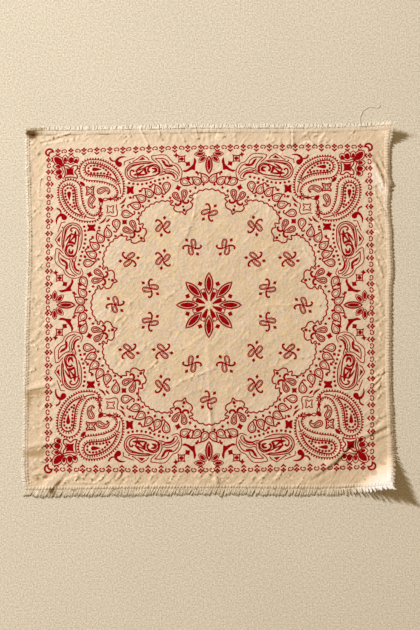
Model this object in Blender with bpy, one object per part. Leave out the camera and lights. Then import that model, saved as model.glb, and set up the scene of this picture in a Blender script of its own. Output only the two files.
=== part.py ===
"""A cotton bandana of the 22 inch size, laid out flat on a table.

One square printed panel, a narrow turned hem sewn along each of its four sides, and the cloth's own
threads fraying out beyond each hem. Two corners of the cloth stand up off the table, and the cloth
keeps the creases that it was once folded along.

Metres, +Z up. The origin is the middle of the printed square, on the table. +X runs to the cloth's
right edge and +Y to its top edge. Every piece is drawn first on the cloth as cut, where all edges are
straight, and is then carried by plan() and raised() to where the cloth lies on the table.
"""

import math
import random

import bmesh
import bpy
import numpy as np
from mathutils.geometry import delaunay_2d_cdt

MM = 0.001

# ---------------------------------------------------------------- driving sizes, in millimetres

LEFT, RIGHT = -270.0, 266.5  # the panel's edges on the cloth as cut
BOTTOM, TOP = -271.0, 261.0
SEAM = 0.3  # the gap between two pieces that touch on the real cloth

PANEL_WALL = 1.3  # the panel's thickness where it lies flat
HEM_WALL = 1.6  # a hem's thickness along its inner and outer edges
STRIP_WIDTH = 1.2  # the woven strip that holds a fringe's roots
LOCK_WALL = 0.9  # a fringe lock's thickness near its root
LOCK_FOOT = 0.35  # how far a lock hangs clear of the table
THREAD_SIZE = 0.8  # the loose thread's thickness

# Each side of the cloth: its hem's width, and the height of the hem's crest.
SIDES = {
    "top": {"hem": 5.4, "crest": 2.0},
    "bottom": {"hem": 6.4, "crest": 2.0},
    "left": {"hem": 5.6, "crest": 1.9},
    "right": {"hem": 8.0, "crest": 2.8},
}

# How far each edge of the cloth bows away from its straight line: (place along the edge, offset).
BOWS = {
    "left": [(-272, -2.0), (-248, -4.2), (-113, -1.5), (-53, -0.1), (98, 3.9), (267, 0.5)],
    "right": [(-272, 0.6), (-248, 2.4), (-213, 3.2), (-186, 1.7), (-113, -0.3), (27, -0.1),
              (45, 1.4), (98, 0.2), (147, -3.2), (177, 0.9), (240, -2.9), (265, -2.1)],
    "bottom": [(-270, -2.3), (-225, -1.6), (-104, 0.0), (20, 0.7), (107, 0.0), (183, 0.0),
               (235, 2.4), (266, 6.0)],
    "top": [(-270, -4.0), (-240, -3.5), (-104, -2.0), (-13, -0.2), (107, -0.2), (168, 0.2),
            (213, 1.7), (266, 3.6)],
}  # fmt: skip

# The fringes, each with the stretch of its side that it covers. A stretch that stands up with its corner
# has a strip of its own.
FRINGE_RUNS = [
    {"name": "fringe_top", "side": "top", "from": -300.0, "to": 236.0},
    {"name": "fringe_top_corner", "side": "top", "from": 236.0, "to": 300.0},
    {"name": "fringe_bottom", "side": "bottom", "from": -300.0, "to": 214.0},
    {"name": "fringe_bottom_corner", "side": "bottom", "from": 214.0, "to": 300.0},
    {"name": "fringe_left", "side": "left", "from": -300.0, "to": 300.0},
    {"name": "fringe_right_low_corner", "side": "right", "from": -300.0, "to": -217.0},
    {"name": "fringe_right", "side": "right", "from": -217.0, "to": 230.0},
    {"name": "fringe_right_top_corner", "side": "right", "from": 230.0, "to": 300.0},
]

# The fringe's length beyond its strip: (place along the edge, length).
FRINGES = {
    "left": [(-290, 1.6), (-250, 2.2), (0, 1.2), (270, 1.2)],
    "right": [(-280, 2.6), (-215, 3.6), (-120, 2.4), (110, 2.6), (180, 4.4), (215, 2.4), (270, 2.6)],
    "bottom": [(-275, 7.0), (-250, 9.4), (-120, 9.4), (15, 8.2), (22, 12.0), (30, 8.6), (150, 9.6),
               (230, 9.4), (274, 4.4)],
    "top": [(-276, 3.2), (-200, 4.6), (-60, 5.2), (120, 5.2), (274, 4.2)],
}  # fmt: skip

# How far a fringe's locks lean along the side before they end: (place along the edge, lean).
LEANS = {
    "left": [(-290, 0.4), (270, 0.4)],
    "right": [(-280, -1.2), (270, -1.2)],
    "bottom": [(-275, -4.2), (150, -3.4), (215, 1.6), (274, 3.0)],
    "top": [(-276, 1.6), (274, 1.6)],
}

# A corner that stands up: the line it bends along, through one point, with the direction that it rises
# in, its rise for each millimetre beyond that line, and how gently the cloth bends there.
LIFTED_CORNERS = [
    {"through": (270.4, -231.0), "towards": (0.682, -0.731), "rise": 0.69, "bend": 7.0},
    {"through": (277.0, 238.0), "towards": (0.739, 0.674), "rise": 0.66, "bend": 6.0},
    {"through": (-262.0, 262.0), "towards": (-0.350, 0.937), "rise": 0.36, "bend": 2.0},
]

# The largest creases, as soft ridges on top of the cloth: from (x, y), to (x, y), half its width, its
# height.
CREASES = [
    (-2.0, 262.0, 3.0, 205.0, 7.0, 0.9),  # the old fold down the middle
    (-17.0, 178.0, -24.0, 132.0, 7.0, 0.5),
    (-24.0, 132.0, -48.0, 82.0, 7.0, 0.5),
    (-2.0, -60.0, 0.0, -140.0, 7.0, 0.4),
    (0.0, -148.0, 2.0, -188.0, 6.0, 1.0),
    (8.0, -240.0, 12.0, -270.0, 8.0, 1.2),
    (-268.0, 8.0, -120.0, 2.0, 7.0, 0.5),  # the old fold across the middle
    (88.0, -1.0, 152.0, -1.0, 6.0, 0.7),
    (152.0, 0.0, 240.0, 6.0, 8.0, 0.5),
    (-41.0, -68.0, -7.0, -46.0, 6.0, 0.5),  # the field's slanting creases
    (-52.0, -124.0, -18.0, -107.0, 6.0, 0.7),
    (-18.0, -107.0, 9.0, -96.0, 6.0, 0.6),
    (-98.0, -109.0, -78.0, -85.0, 6.0, 0.6),
    (110.0, -92.0, 152.0, -78.0, 6.0, 0.5),
    (143.0, 84.0, 158.0, 62.0, 6.0, 0.5),
    (84.0, 82.0, 104.0, 97.0, 6.0, 0.5),
    (-253.0, -275.0, -216.0, -252.0, 10.0, 1.7),  # the lower left corner
    (-221.0, -267.0, -194.0, -255.0, 6.0, 1.0),
    (-182.0, -262.0, -172.0, -255.0, 5.0, 0.7),
    (-270.0, -216.0, -232.0, -209.0, 9.0, 1.3),
    (-270.0, -127.0, -236.0, -120.0, 8.0, 1.2),
    (-268.0, -56.0, -246.0, -28.0, 7.0, 0.9),  # the left margin
    (-268.0, 10.0, -246.0, 6.0, 7.0, 0.6),
    (-252.0, 172.0, -243.0, 198.0, 8.0, 0.8),
    (-253.0, 240.0, -212.0, 256.0, 6.0, 0.8),  # the top margin
    (-100.0, 261.0, -91.0, 244.0, 5.0, 0.8),
    (125.0, 260.0, 125.0, 242.0, 5.0, 1.2),
    (145.0, 258.0, 158.0, 242.0, 5.0, 0.8),
    (245.0, 219.0, 262.0, 178.0, 8.0, 1.6),  # the right margin
    (252.0, 168.0, 266.0, 140.0, 7.0, 1.2),
    (249.0, 128.0, 263.0, 105.0, 7.0, 0.9),
    (252.0, 76.0, 262.0, 46.0, 7.0, 1.2),
    (252.0, 33.0, 261.0, 0.0, 7.0, 0.7),
    (249.0, -111.0, 268.0, -102.0, 6.0, 1.0),
    (147.0, -256.0, 180.0, -232.0, 9.0, 0.9),  # both banks of the lower right corner's deep fold
    (180.0, -232.0, 232.0, -194.0, 9.0, 1.2),
    (232.0, -194.0, 262.0, -176.0, 9.0, 1.5),
    (162.0, -272.0, 196.0, -248.0, 8.0, 0.9),
    (212.0, -230.0, 246.0, -209.0, 8.0, 1.2),
    (246.0, -209.0, 270.0, -194.0, 7.0, 1.4),
]

# The lines across the cloth that every piece's mesh shares: where each run of cells ends, and how many
# cells it takes.
COLUMNS = [(-226.0, 6), (-16.0, 20), (16.0, 4), (226.0, 20), (RIGHT, 6)]
ROWS = [(-226.0, 6), (-16.0, 20), (16.0, 4), (216.0, 20), (TOP, 6)]

# The loose thread's course over the table, from the top fringe out and round: (x, y) on the table.
THREAD_COURSE = [(228.3, 275.2), (228.4, 281.0), (229.6, 287.6), (233.0, 293.2), (238.6, 297.6),
                 (245.2, 298.9), (251.0, 298.0), (255.2, 297.7), (259.2, 301.6)]  # fmt: skip

COTTON = (0.775, 0.600, 0.420)
HEM_COTTON = (0.800, 0.640, 0.470)
THREAD_COTTON = (0.860, 0.760, 0.620)


# ---------------------------------------------------------------- how the cloth lies


def along(table, place):
    """The value of a (place, value) table at a place, with the steps between its rows rounded off."""
    places = np.array([row[0] for row in table], float)
    values = np.array([row[1] for row in table], float)
    place = np.clip(place, places[0], places[-1])
    step = np.clip(np.searchsorted(places, place, side="right") - 1, 0, len(places) - 2)
    share = (place - places[step]) / (places[step + 1] - places[step])
    share = share * share * (3.0 - 2.0 * share)
    return values[step] + (values[step + 1] - values[step]) * share


def plan(u, v):
    """Where the point (u, v) of the cloth as cut lies on the table, in x and y."""
    right_share = np.clip((u - LEFT) / (RIGHT - LEFT), 0.0, 1.0)
    top_share = np.clip((v - BOTTOM) / (TOP - BOTTOM), 0.0, 1.0)
    x = u + along(BOWS["left"], v) * (1.0 - right_share) + along(BOWS["right"], v) * right_share
    y = v + along(BOWS["bottom"], u) * (1.0 - top_share) + along(BOWS["top"], u) * top_share
    return x, y


def raised(x, y):
    """How far the cloth's underside stands off the table at (x, y)."""
    height = np.zeros_like(np.asarray(x, float))
    for corner in LIFTED_CORNERS:
        (px, py), (dx, dy), bend = corner["through"], corner["towards"], corner["bend"]
        beyond = (x - px) * dx + (y - py) * dy
        rounded = np.clip(beyond + bend, 0.0, 2.0 * bend) ** 2 / (4.0 * bend)
        height = height + corner["rise"] * (rounded + np.clip(beyond - bend, 0.0, None))
    return height


def creased(x, y):
    """How far the creases raise the cloth's top at (x, y)."""
    height = np.zeros_like(np.asarray(x, float))
    for x0, y0, x1, y1, half_width, crest in CREASES:
        length = math.hypot(x1 - x0, y1 - y0)
        share = ((x - x0) * (x1 - x0) + (y - y0) * (y1 - y0)) / length**2
        share = np.clip(share, 0.0, 1.0)
        off = np.hypot(x - x0 - share * (x1 - x0), y - y0 - share * (y1 - y0))
        height = height + crest * np.exp(-((off / half_width) ** 2) * 1.6)
    return np.clip(height, 0.0, 3.0 - PANEL_WALL)


def point(u, v, above):
    """The point (u, v) of the cloth as cut, at a height above its underside, in metres."""
    x, y = plan(u, v)
    return float(x) * MM, float(y) * MM, float(raised(x, y) + above) * MM


# ---------------------------------------------------------------- making objects


def material(name, colour, roughness):
    made = bpy.data.materials.new(name)
    made.use_nodes = True
    shader = made.node_tree.nodes["Principled BSDF"]
    shader.inputs["Base Color"].default_value = (*colour, 1.0)
    shader.inputs["Roughness"].default_value = roughness
    shader.inputs["Metallic"].default_value = 0.0
    return made


def add_object(name, points, faces, surface):
    """One closed solid from its points and faces, with its faces turned outwards."""
    mesh = bpy.data.meshes.new(name)
    mesh.from_pydata(points, [], faces)
    shape = bmesh.new()
    shape.from_mesh(mesh)
    bmesh.ops.recalc_face_normals(shape, faces=shape.faces)
    shape.to_mesh(mesh)
    shape.free()
    mesh.shade_smooth()
    mesh.set_sharp_from_angle(angle=math.radians(40))
    mesh.materials.append(surface)
    made = bpy.data.objects.new(name, mesh)
    bpy.context.scene.collection.objects.link(made)
    return made


def stations(start, runs):
    """Places along a line: each run of cells goes on from the last one to the run's end."""
    places = [start]
    for end, cells in runs:
        step = (end - places[-1]) / cells
        places += [places[-1] + step * i for i in range(1, cells)] + [end]
    return places


# ---------------------------------------------------------------- the panel


def make_panel(surface):
    """The printed square: a creased top, a flat underside and a wall round the edge between them."""
    us, vs = stations(LEFT, COLUMNS), stations(BOTTOM, ROWS)
    wide, high = len(us), len(vs)
    flat = [(u, v) for v in vs for u in us]
    x, y = plan(*np.array(flat).T)
    lift = raised(x, y)
    top_height = lift + PANEL_WALL + creased(x, y)
    points = [(a * MM, b * MM, c * MM) for a, b, c in zip(x, y, top_height)]
    faces = []
    for row in range(high - 1):
        for column in range(wide - 1):
            corner = row * wide + column
            faces.append((corner, corner + 1, corner + wide + 1, corner + wide))

    rim = list(range(wide))
    rim += [row * wide + wide - 1 for row in range(1, high)]
    rim += [(high - 1) * wide + column for column in range(wide - 2, -1, -1)]
    rim += [row * wide for row in range(high - 2, 0, -1)]

    # The underside takes all of the rim, all the points of the lifted corners, and few of the rest.
    on_rim = set(rim)
    inner = []
    for row in range(1, high - 1):
        for column in range(1, wide - 1):
            index = row * wide + column
            sparse = row % 4 == 2 and column % 4 == 2
            if index not in on_rim and (lift[index] > 0.0 or sparse):
                inner.append(index)
    kept = rim + inner
    loop = list(range(len(rim)))
    found = delaunay_2d_cdt([(x[i], y[i]) for i in kept], [], [loop], 1, 1e-6)
    under_of = {}
    for made, sources in enumerate(found[3]):
        for source in sources:
            under_of[source] = len(points) + made
    points += [(place.x * MM, place.y * MM, float(raised(place.x, place.y)) * MM) for place in found[0]]
    first = len(flat)
    faces += [tuple(first + corner for corner in face) for face in found[2]]

    for here in range(len(rim)):
        after = (here + 1) % len(rim)
        faces.append((rim[here], rim[after], under_of[after], under_of[here]))
    return add_object("panel", points, faces, surface)


# ---------------------------------------------------------------- hems and fringes


def beside(side, place, out, above):
    """A point of the cloth beside one edge: its place along the edge, how far out, and its height."""
    if side == "top":
        return point(place, TOP + out, above)
    if side == "bottom":
        return point(place, BOTTOM - out, above)
    if side == "left":
        return point(LEFT - out, place, above)
    return point(RIGHT + out, place, above)


def hem_stations(side):
    """The places along a side where its hem's cross-sections stand: those of the panel's mesh.

    The top and bottom hems run on over the ends of the left and right ones.
    """
    if side in ("left", "right"):
        return stations(BOTTOM, ROWS)
    first = LEFT - SEAM - SIDES["left"]["hem"]
    last = RIGHT + SEAM + SIDES["right"]["hem"]
    return [first] + stations(LEFT, COLUMNS) + [last]


def fringe_stations(side):
    """The same for a fringe: the left and right ones run past the ends of the hems beside them."""
    if side in ("top", "bottom"):
        return hem_stations(side)
    first = BOTTOM - SEAM - SIDES["bottom"]["hem"]
    last = TOP + SEAM + SIDES["top"]["hem"]
    return [first] + stations(BOTTOM, ROWS) + [last]


def make_hem(side, surface):
    """A hem: a narrow turned band just outside the panel's edge, puckered along its stitches."""
    size = SIDES[side]
    places = hem_stations(side)
    near, far = SEAM, SEAM + size["hem"]
    middle = (near + far) / 2.0
    points, faces = [], []
    for i, place in enumerate(places):
        pucker = 0.18 * math.sin(i * 2.4) + 0.12 * math.sin(i * 0.9 + 1.0)
        points += [
            beside(side, place, near, 0.0),
            beside(side, place, far, 0.0),
            beside(side, place, far, HEM_WALL),
            beside(side, place, middle, size["crest"] + pucker),
            beside(side, place, near, HEM_WALL),
        ]
    ring = 5
    for i in range(len(places) - 1):
        for k in range(ring):
            here, after = i * ring + k, i * ring + (k + 1) % ring
            faces.append((here, after, after + ring, here + ring))
    last = (len(places) - 1) * ring
    faces += [tuple(range(ring)), tuple(last + k for k in range(ring))]
    return add_object("hem_" + side, points, faces, surface)


def make_fringe(run, surface, seed):
    """A fringe: a narrow woven strip with four-sided locks of thread, fused to it at their roots.

    One lock stands on each cell of the mesh.
    """
    side = run["side"]
    size, table = SIDES[side], FRINGES[side]
    places = fringe_stations(side)
    edges = [place for place in places if run["from"] <= place <= run["to"]]
    if edges[-1] != places[-1]:
        edges.append(places[places.index(edges[-1]) + 1] - SEAM)
    uneven = random.Random(seed)
    near = 2.0 * SEAM + size["hem"]
    far = near + STRIP_WIDTH

    def on_line(place, out, above):
        """A point on the straight line between the two cross-sections that the place lies between."""
        after = min(max(1, int(np.searchsorted(places, place))), len(places) - 1)
        before = after - 1
        share = (place - places[before]) / (places[after] - places[before])
        a = np.array(beside(side, places[before], out, above))
        b = np.array(beside(side, places[after], out, above))
        return tuple(a + (b - a) * share)

    points, faces = [], []
    for place in edges:
        points += [
            on_line(place, near, 0.0),
            on_line(place, near, PANEL_WALL),
            on_line(place, far, LOCK_FOOT),
            on_line(place, far, PANEL_WALL),
        ]
    last = (len(edges) - 1) * 4
    faces += [(0, 1, 3, 2), (last, last + 1, last + 3, last + 2)]
    for i, (start, end) in enumerate(zip(edges, edges[1:])):
        here, after = i * 4, i * 4 + 4
        faces += [
            (here, here + 1, after + 1, after),
            (here + 1, here + 3, after + 3, after + 1),
            (here, here + 2, after + 2, after),
        ]
        middle = (start + end) / 2.0
        length = float(along(table, middle)) * uneven.uniform(0.82, 1.12)
        lean = float(along(LEANS[side], middle)) * uneven.uniform(0.6, 1.3)
        ring = [here + 2, after + 2, after + 3, here + 3]
        for share, width, wall in ((0.4, 0.66, LOCK_WALL), (1.0, 0.34, 0.6 * LOCK_WALL)):
            half = (end - start) * width / 2.0
            centre = min(max(middle + lean * share, edges[0] + half), edges[-1] - half)
            out = far + length * share
            new = len(points)
            points += [
                on_line(centre - half, out, LOCK_FOOT),
                on_line(centre + half, out, LOCK_FOOT),
                on_line(centre + half, out, LOCK_FOOT + wall),
                on_line(centre - half, out, LOCK_FOOT + wall),
            ]
            for k in range(4):
                turn = (k + 1) % 4
                faces.append((ring[k], ring[turn], new + turn, new + k))
            ring = [new, new + 1, new + 2, new + 3]
        faces.append(tuple(ring))
    return add_object(run["name"], points, faces, surface)


# ---------------------------------------------------------------- the loose thread


def spline(course, steps):
    """Points on a smooth curve through a course of (x, y) points, with some steps between each two."""
    route = np.array(course, float)
    padded = np.vstack([2 * route[0] - route[1], route, 2 * route[-1] - route[-2]])
    found = []
    for i in range(1, len(padded) - 2):
        p0, p1, p2, p3 = padded[i - 1 : i + 3]
        for step in range(steps):
            t = step / steps
            found.append(
                0.5 * (2 * p1 + (p2 - p0) * t + (2 * p0 - 5 * p1 + 4 * p2 - p3) * t**2
                       + (3 * p1 - p0 - 3 * p2 + p3) * t**3)
            )  # fmt: skip
    found.append(route[-1])
    return np.array(found)


def make_loose_thread(surface):
    """A thread drawn out of the top edge, which lies in a curl on the table just clear of it."""
    route = spline(THREAD_COURSE, 2)
    ahead = np.gradient(route, axis=0)
    ahead /= np.linalg.norm(ahead, axis=1)[:, None]
    half = THREAD_SIZE / 2.0
    points, faces = [], []
    for (x, y), (dx, dy) in zip(route, ahead):
        for side, above in ((-half, 0.0), (half, 0.0), (half, THREAD_SIZE), (-half, THREAD_SIZE)):
            points.append(((x - dy * side) * MM, (y + dx * side) * MM, (LOCK_FOOT + above) * MM))
    for i in range(len(route) - 1):
        for k in range(4):
            here, after = i * 4 + k, i * 4 + (k + 1) % 4
            faces.append((here, after, after + 4, here + 4))
    last = (len(route) - 1) * 4
    faces += [(0, 1, 2, 3), (last, last + 1, last + 2, last + 3)]
    return add_object("loose_thread", points, faces, surface)


# ---------------------------------------------------------------- the whole bandana


def main():
    for old in list(bpy.data.objects):
        bpy.data.objects.remove(old)
    printed = material("printed_cotton", COTTON, 0.85)
    hemmed = material("hem_cotton", HEM_COTTON, 0.88)
    frayed = material("frayed_thread", THREAD_COTTON, 0.9)
    make_panel(printed)
    for side in SIDES:
        make_hem(side, hemmed)
    for seed, run in enumerate(FRINGE_RUNS, start=1):
        make_fringe(run, frayed, seed)
    make_loose_thread(frayed)


main()
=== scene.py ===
"""The look of a cotton bandana laid out flat: its printed cloth, hems, stitches and frayed edges.

Lengths are in millimetres until a mesh is made, and the print is drawn in steps of its own grid. The
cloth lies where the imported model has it: plan() and raised() carry the cloth as cut to the table.
"""

import math
import random

import bpy
import numpy as np
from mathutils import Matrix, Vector
from mathutils.geometry import delaunay_2d_cdt


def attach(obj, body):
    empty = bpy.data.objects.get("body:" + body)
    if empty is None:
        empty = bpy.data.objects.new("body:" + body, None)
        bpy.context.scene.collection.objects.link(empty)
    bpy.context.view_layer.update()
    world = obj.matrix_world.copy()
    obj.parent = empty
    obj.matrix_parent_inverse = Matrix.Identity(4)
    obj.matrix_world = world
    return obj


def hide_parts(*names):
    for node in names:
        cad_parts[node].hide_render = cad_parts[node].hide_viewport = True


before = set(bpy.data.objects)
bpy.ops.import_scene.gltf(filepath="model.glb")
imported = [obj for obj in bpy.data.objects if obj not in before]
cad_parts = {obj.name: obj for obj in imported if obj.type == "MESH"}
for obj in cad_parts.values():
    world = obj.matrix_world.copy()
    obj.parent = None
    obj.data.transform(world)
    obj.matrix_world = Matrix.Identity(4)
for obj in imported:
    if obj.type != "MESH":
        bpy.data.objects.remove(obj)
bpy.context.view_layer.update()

MM = 0.001

# ---------------------------------------------------------------- the cloth, in millimetres

LEFT, RIGHT = -270.0, 266.5  # the panel's edges on the cloth as cut
BOTTOM, TOP = -271.0, 259.3
# Where each edge of the panel is, and whether the way out from it is up (1) or down (-1) its axis.
EDGES = {"left": (LEFT, -1), "right": (RIGHT, 1), "bottom": (BOTTOM, -1), "top": (TOP, 1)}
SEAM = 0.3  # the gap between the panel and its hem, which the printed cloth reaches across
STRIP_WIDTH = 1.2  # the woven strip that holds a fringe's roots
CLOTH_WALL = 0.5  # the cloth's thickness, with the air that it lies on
GRID = 3.0  # the mesh size of the cloth's face, away from the print and the creases
HEM_CREASING = 0.7  # how much of a crease's height is left where it crosses a hem

# Each hem: its width, how high its crest stands, how much its gathers rise, how far apart the small
# and the large ones are, and how far out its stitches lie.
SIDES = {
    "top": {"hem": 7.6, "crest": 1.1, "rib": 0.12, "small": 4.6, "large": 9.0, "stitch": 0.7},
    "bottom": {"hem": 6.4, "crest": 1.8, "rib": 0.58, "small": 4.5, "large": 10.7, "stitch": 5.8},
    "left": {"hem": 5.6, "crest": 1.2, "rib": 0.30, "small": 4.6, "large": 9.2, "stitch": 0.7},
    "right": {"hem": 8.0, "crest": 1.9, "rib": 0.60, "small": 4.3, "large": 8.9, "stitch": 2.6},
}

# What shows in each hem: how much painted shade lies in its inner groove and on its outer edge, where a
# negative value is a painted highlight on the side that faces the lamp, the places across it of its rows
# of dark specks and how strong they are, and the frayed threads' colour, darkened as painted shade on
# the right, which faces away from the lamp, the painted shade along them from their roots to their ends,
# where the darkest ends stand for their shadow on the table, how closely they draw together, the height
# that their ends stand at, how far in on the hem they begin, and the share of their tufts that is dark
# at the roots.
HEM_SHADE_AND_FRAY = {
    # the top: its negative outer value is a painted highlight on its outer edge, which faces the lamp
    "top": {"inner": 0.60, "outer": -0.22, "rows": (6.2,), "marks": 0.35,
            "tone": (1.10, 1.11, 1.14), "shade_along": (0.92, 0.96, 1.0, 1.0, 0.92),
            "gather": 0.42, "tips": 0.40, "root": 0.6, "dark": 0.3},
    # the bottom: the dark ends of its threads are a painted shadow on the table
    "bottom": {"inner": 0.10, "outer": 0.18, "rows": (2.0, 4.6), "marks": 0.28,
               "tone": (1.04, 1.02, 0.96), "shade_along": (0.90, 1.0, 1.0, 0.80, 0.20),
               "gather": 0.60, "tips": 1.30, "root": 0.5, "dark": 0.15},
    "left": {"inner": 0.12, "outer": 0.10, "rows": (0.8, 4.2), "marks": 0.8,
             "tone": (1.10, 1.10, 1.12), "shade_along": (0.94, 1.0, 1.0, 1.0, 1.0),
             "gather": 0.25, "tips": 0.40, "root": 1.6, "dark": 0.0},
    # the right: its brown threads, dark ends and darker outer edge are painted shade, facing away from
    # the lamp
    "right": {"inner": 0.0, "outer": 0.42, "rows": (6.4,), "marks": 0.50,
              "tone": (0.74, 0.62, 0.47), "shade_along": (0.94, 0.96, 0.90, 0.78, 0.46),
              "gather": 0.5, "tips": 1.10, "root": 0.5, "dark": 0.15},
}  # fmt: skip

# Where the frayed threads are paler: (place along the edge, how much), and the colour that they have
# there. Near the lifted corners on the right this is painted light, for threads that rise towards the
# lamp; at the lower left the threads are just paler.
PALE_THREADS = {
    "left": [(-290, 1.0), (-240, 0.8), (-200, 0.0), (290, 0.0)],
    "right": [(-290, 0.2), (-240, 0.2), (-228, 0.0), (236, 0.0), (247, 1.0), (290, 1.0)],
    "bottom": [(-290, 0.0), (214, 0.0), (236, 0.35), (290, 0.15)],
    "top": [(-290, 0.0), (250, 0.0), (275, 0.7)],
}
PALE_THREAD_TONE = np.array([1.14, 1.15, 1.19])

# How far each edge of the cloth bows away from its straight line: (place along the edge, offset).
BOWS = {
    "left": [(-272, 0.2), (-248, -2.0), (-113, -1.5), (-53, -0.1), (98, 3.9), (267, 0.5)],
    "right": [(-272, 0.6), (-248, 2.4), (-213, 3.2), (-186, 1.7), (-113, -0.3), (20, 0.1), (42, 2.8),
              (62, 2.2), (98, 0.6), (147, -2.8), (177, -0.4), (200, -2.0), (240, -2.2), (254, -0.8),
              (265, 1.2)],
    "bottom": [(-270, -2.3), (-225, -1.6), (-104, 0.0), (20, 0.7), (107, 0.0), (183, 0.0),
               (235, 2.4), (266, 6.0)],
    "top": [(-270, -4.0), (-240, -3.5), (-104, -2.0), (-13, -0.2), (107, -0.2), (168, 0.2),
            (213, 1.7), (266, 3.6)],
}  # fmt: skip

# The fringe's length beyond its strip, and how far its threads lean along the side: (place, value).
FRINGES = {
    "left": [(-290, 4.0), (-250, 4.2), (-200, 2.2), (0, 1.2), (270, 1.2)],
    "right": [(-280, 2.6), (-215, 3.4), (-120, 1.5), (110, 1.3), (167, 1.3), (178, 5.4), (188, 1.4),
              (215, 1.3), (270, 2.6)],
    "bottom": [(-275, 7.0), (-250, 9.4), (-120, 9.4), (15, 8.2), (22, 12.0), (30, 8.6), (150, 9.6),
               (205, 9.0), (230, 6.6), (274, 3.6)],
    "top": [(-276, 3.2), (-200, 4.6), (-60, 5.2), (120, 5.2), (274, 4.2)],
}  # fmt: skip
LEANS = {
    "left": [(-290, 0.4), (270, 0.4)],
    "right": [(-280, -1.2), (270, -1.2)],
    "bottom": [(-275, -4.2), (150, -3.4), (215, 1.6), (274, 3.0)],
    "top": [(-276, 1.6), (274, 1.6)],
}

# The corners that stand up: a point on the line that each bends along, the direction that it rises in,
# its rise for each millimetre beyond that line, and how gently the cloth bends there.
LIFTED_CORNERS = [
    ((270.4, -231.0), (0.682, -0.731), 0.69, 4.5),
    ((277.0, 238.0), (0.739, 0.674), 0.75, 6.0),
    ((-262.0, 262.0), (-0.350, 0.937), 0.36, 2.0),
]

# The deep fold across the lower right corner: its (x, y) course and strength, and its upper bank, its
# valley and its lower bank, each as an offset from the course, half the width, and the height.
DEEP_FOLD = [(154.0, -264.0, 0.35), (166.0, -257.5, 0.4), (183.0, -246.0, 0.5), (193.0, -238.0, 1.3),
             (202.0, -229.0, 1.2), (213.0, -216.0, 0.55), (228.0, -206.0, 0.65), (248.0, -196.0, 1.0),
             (268.0, -186.0, 1.1)]  # fmt: skip
DEEP_FOLD_BANKS = [(-2.6, 2.9, 6.0, 1.35), (1.0, -1.2, 3.0, -1.1), (5.2, -6.2, 5.0, 0.7)]

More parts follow.
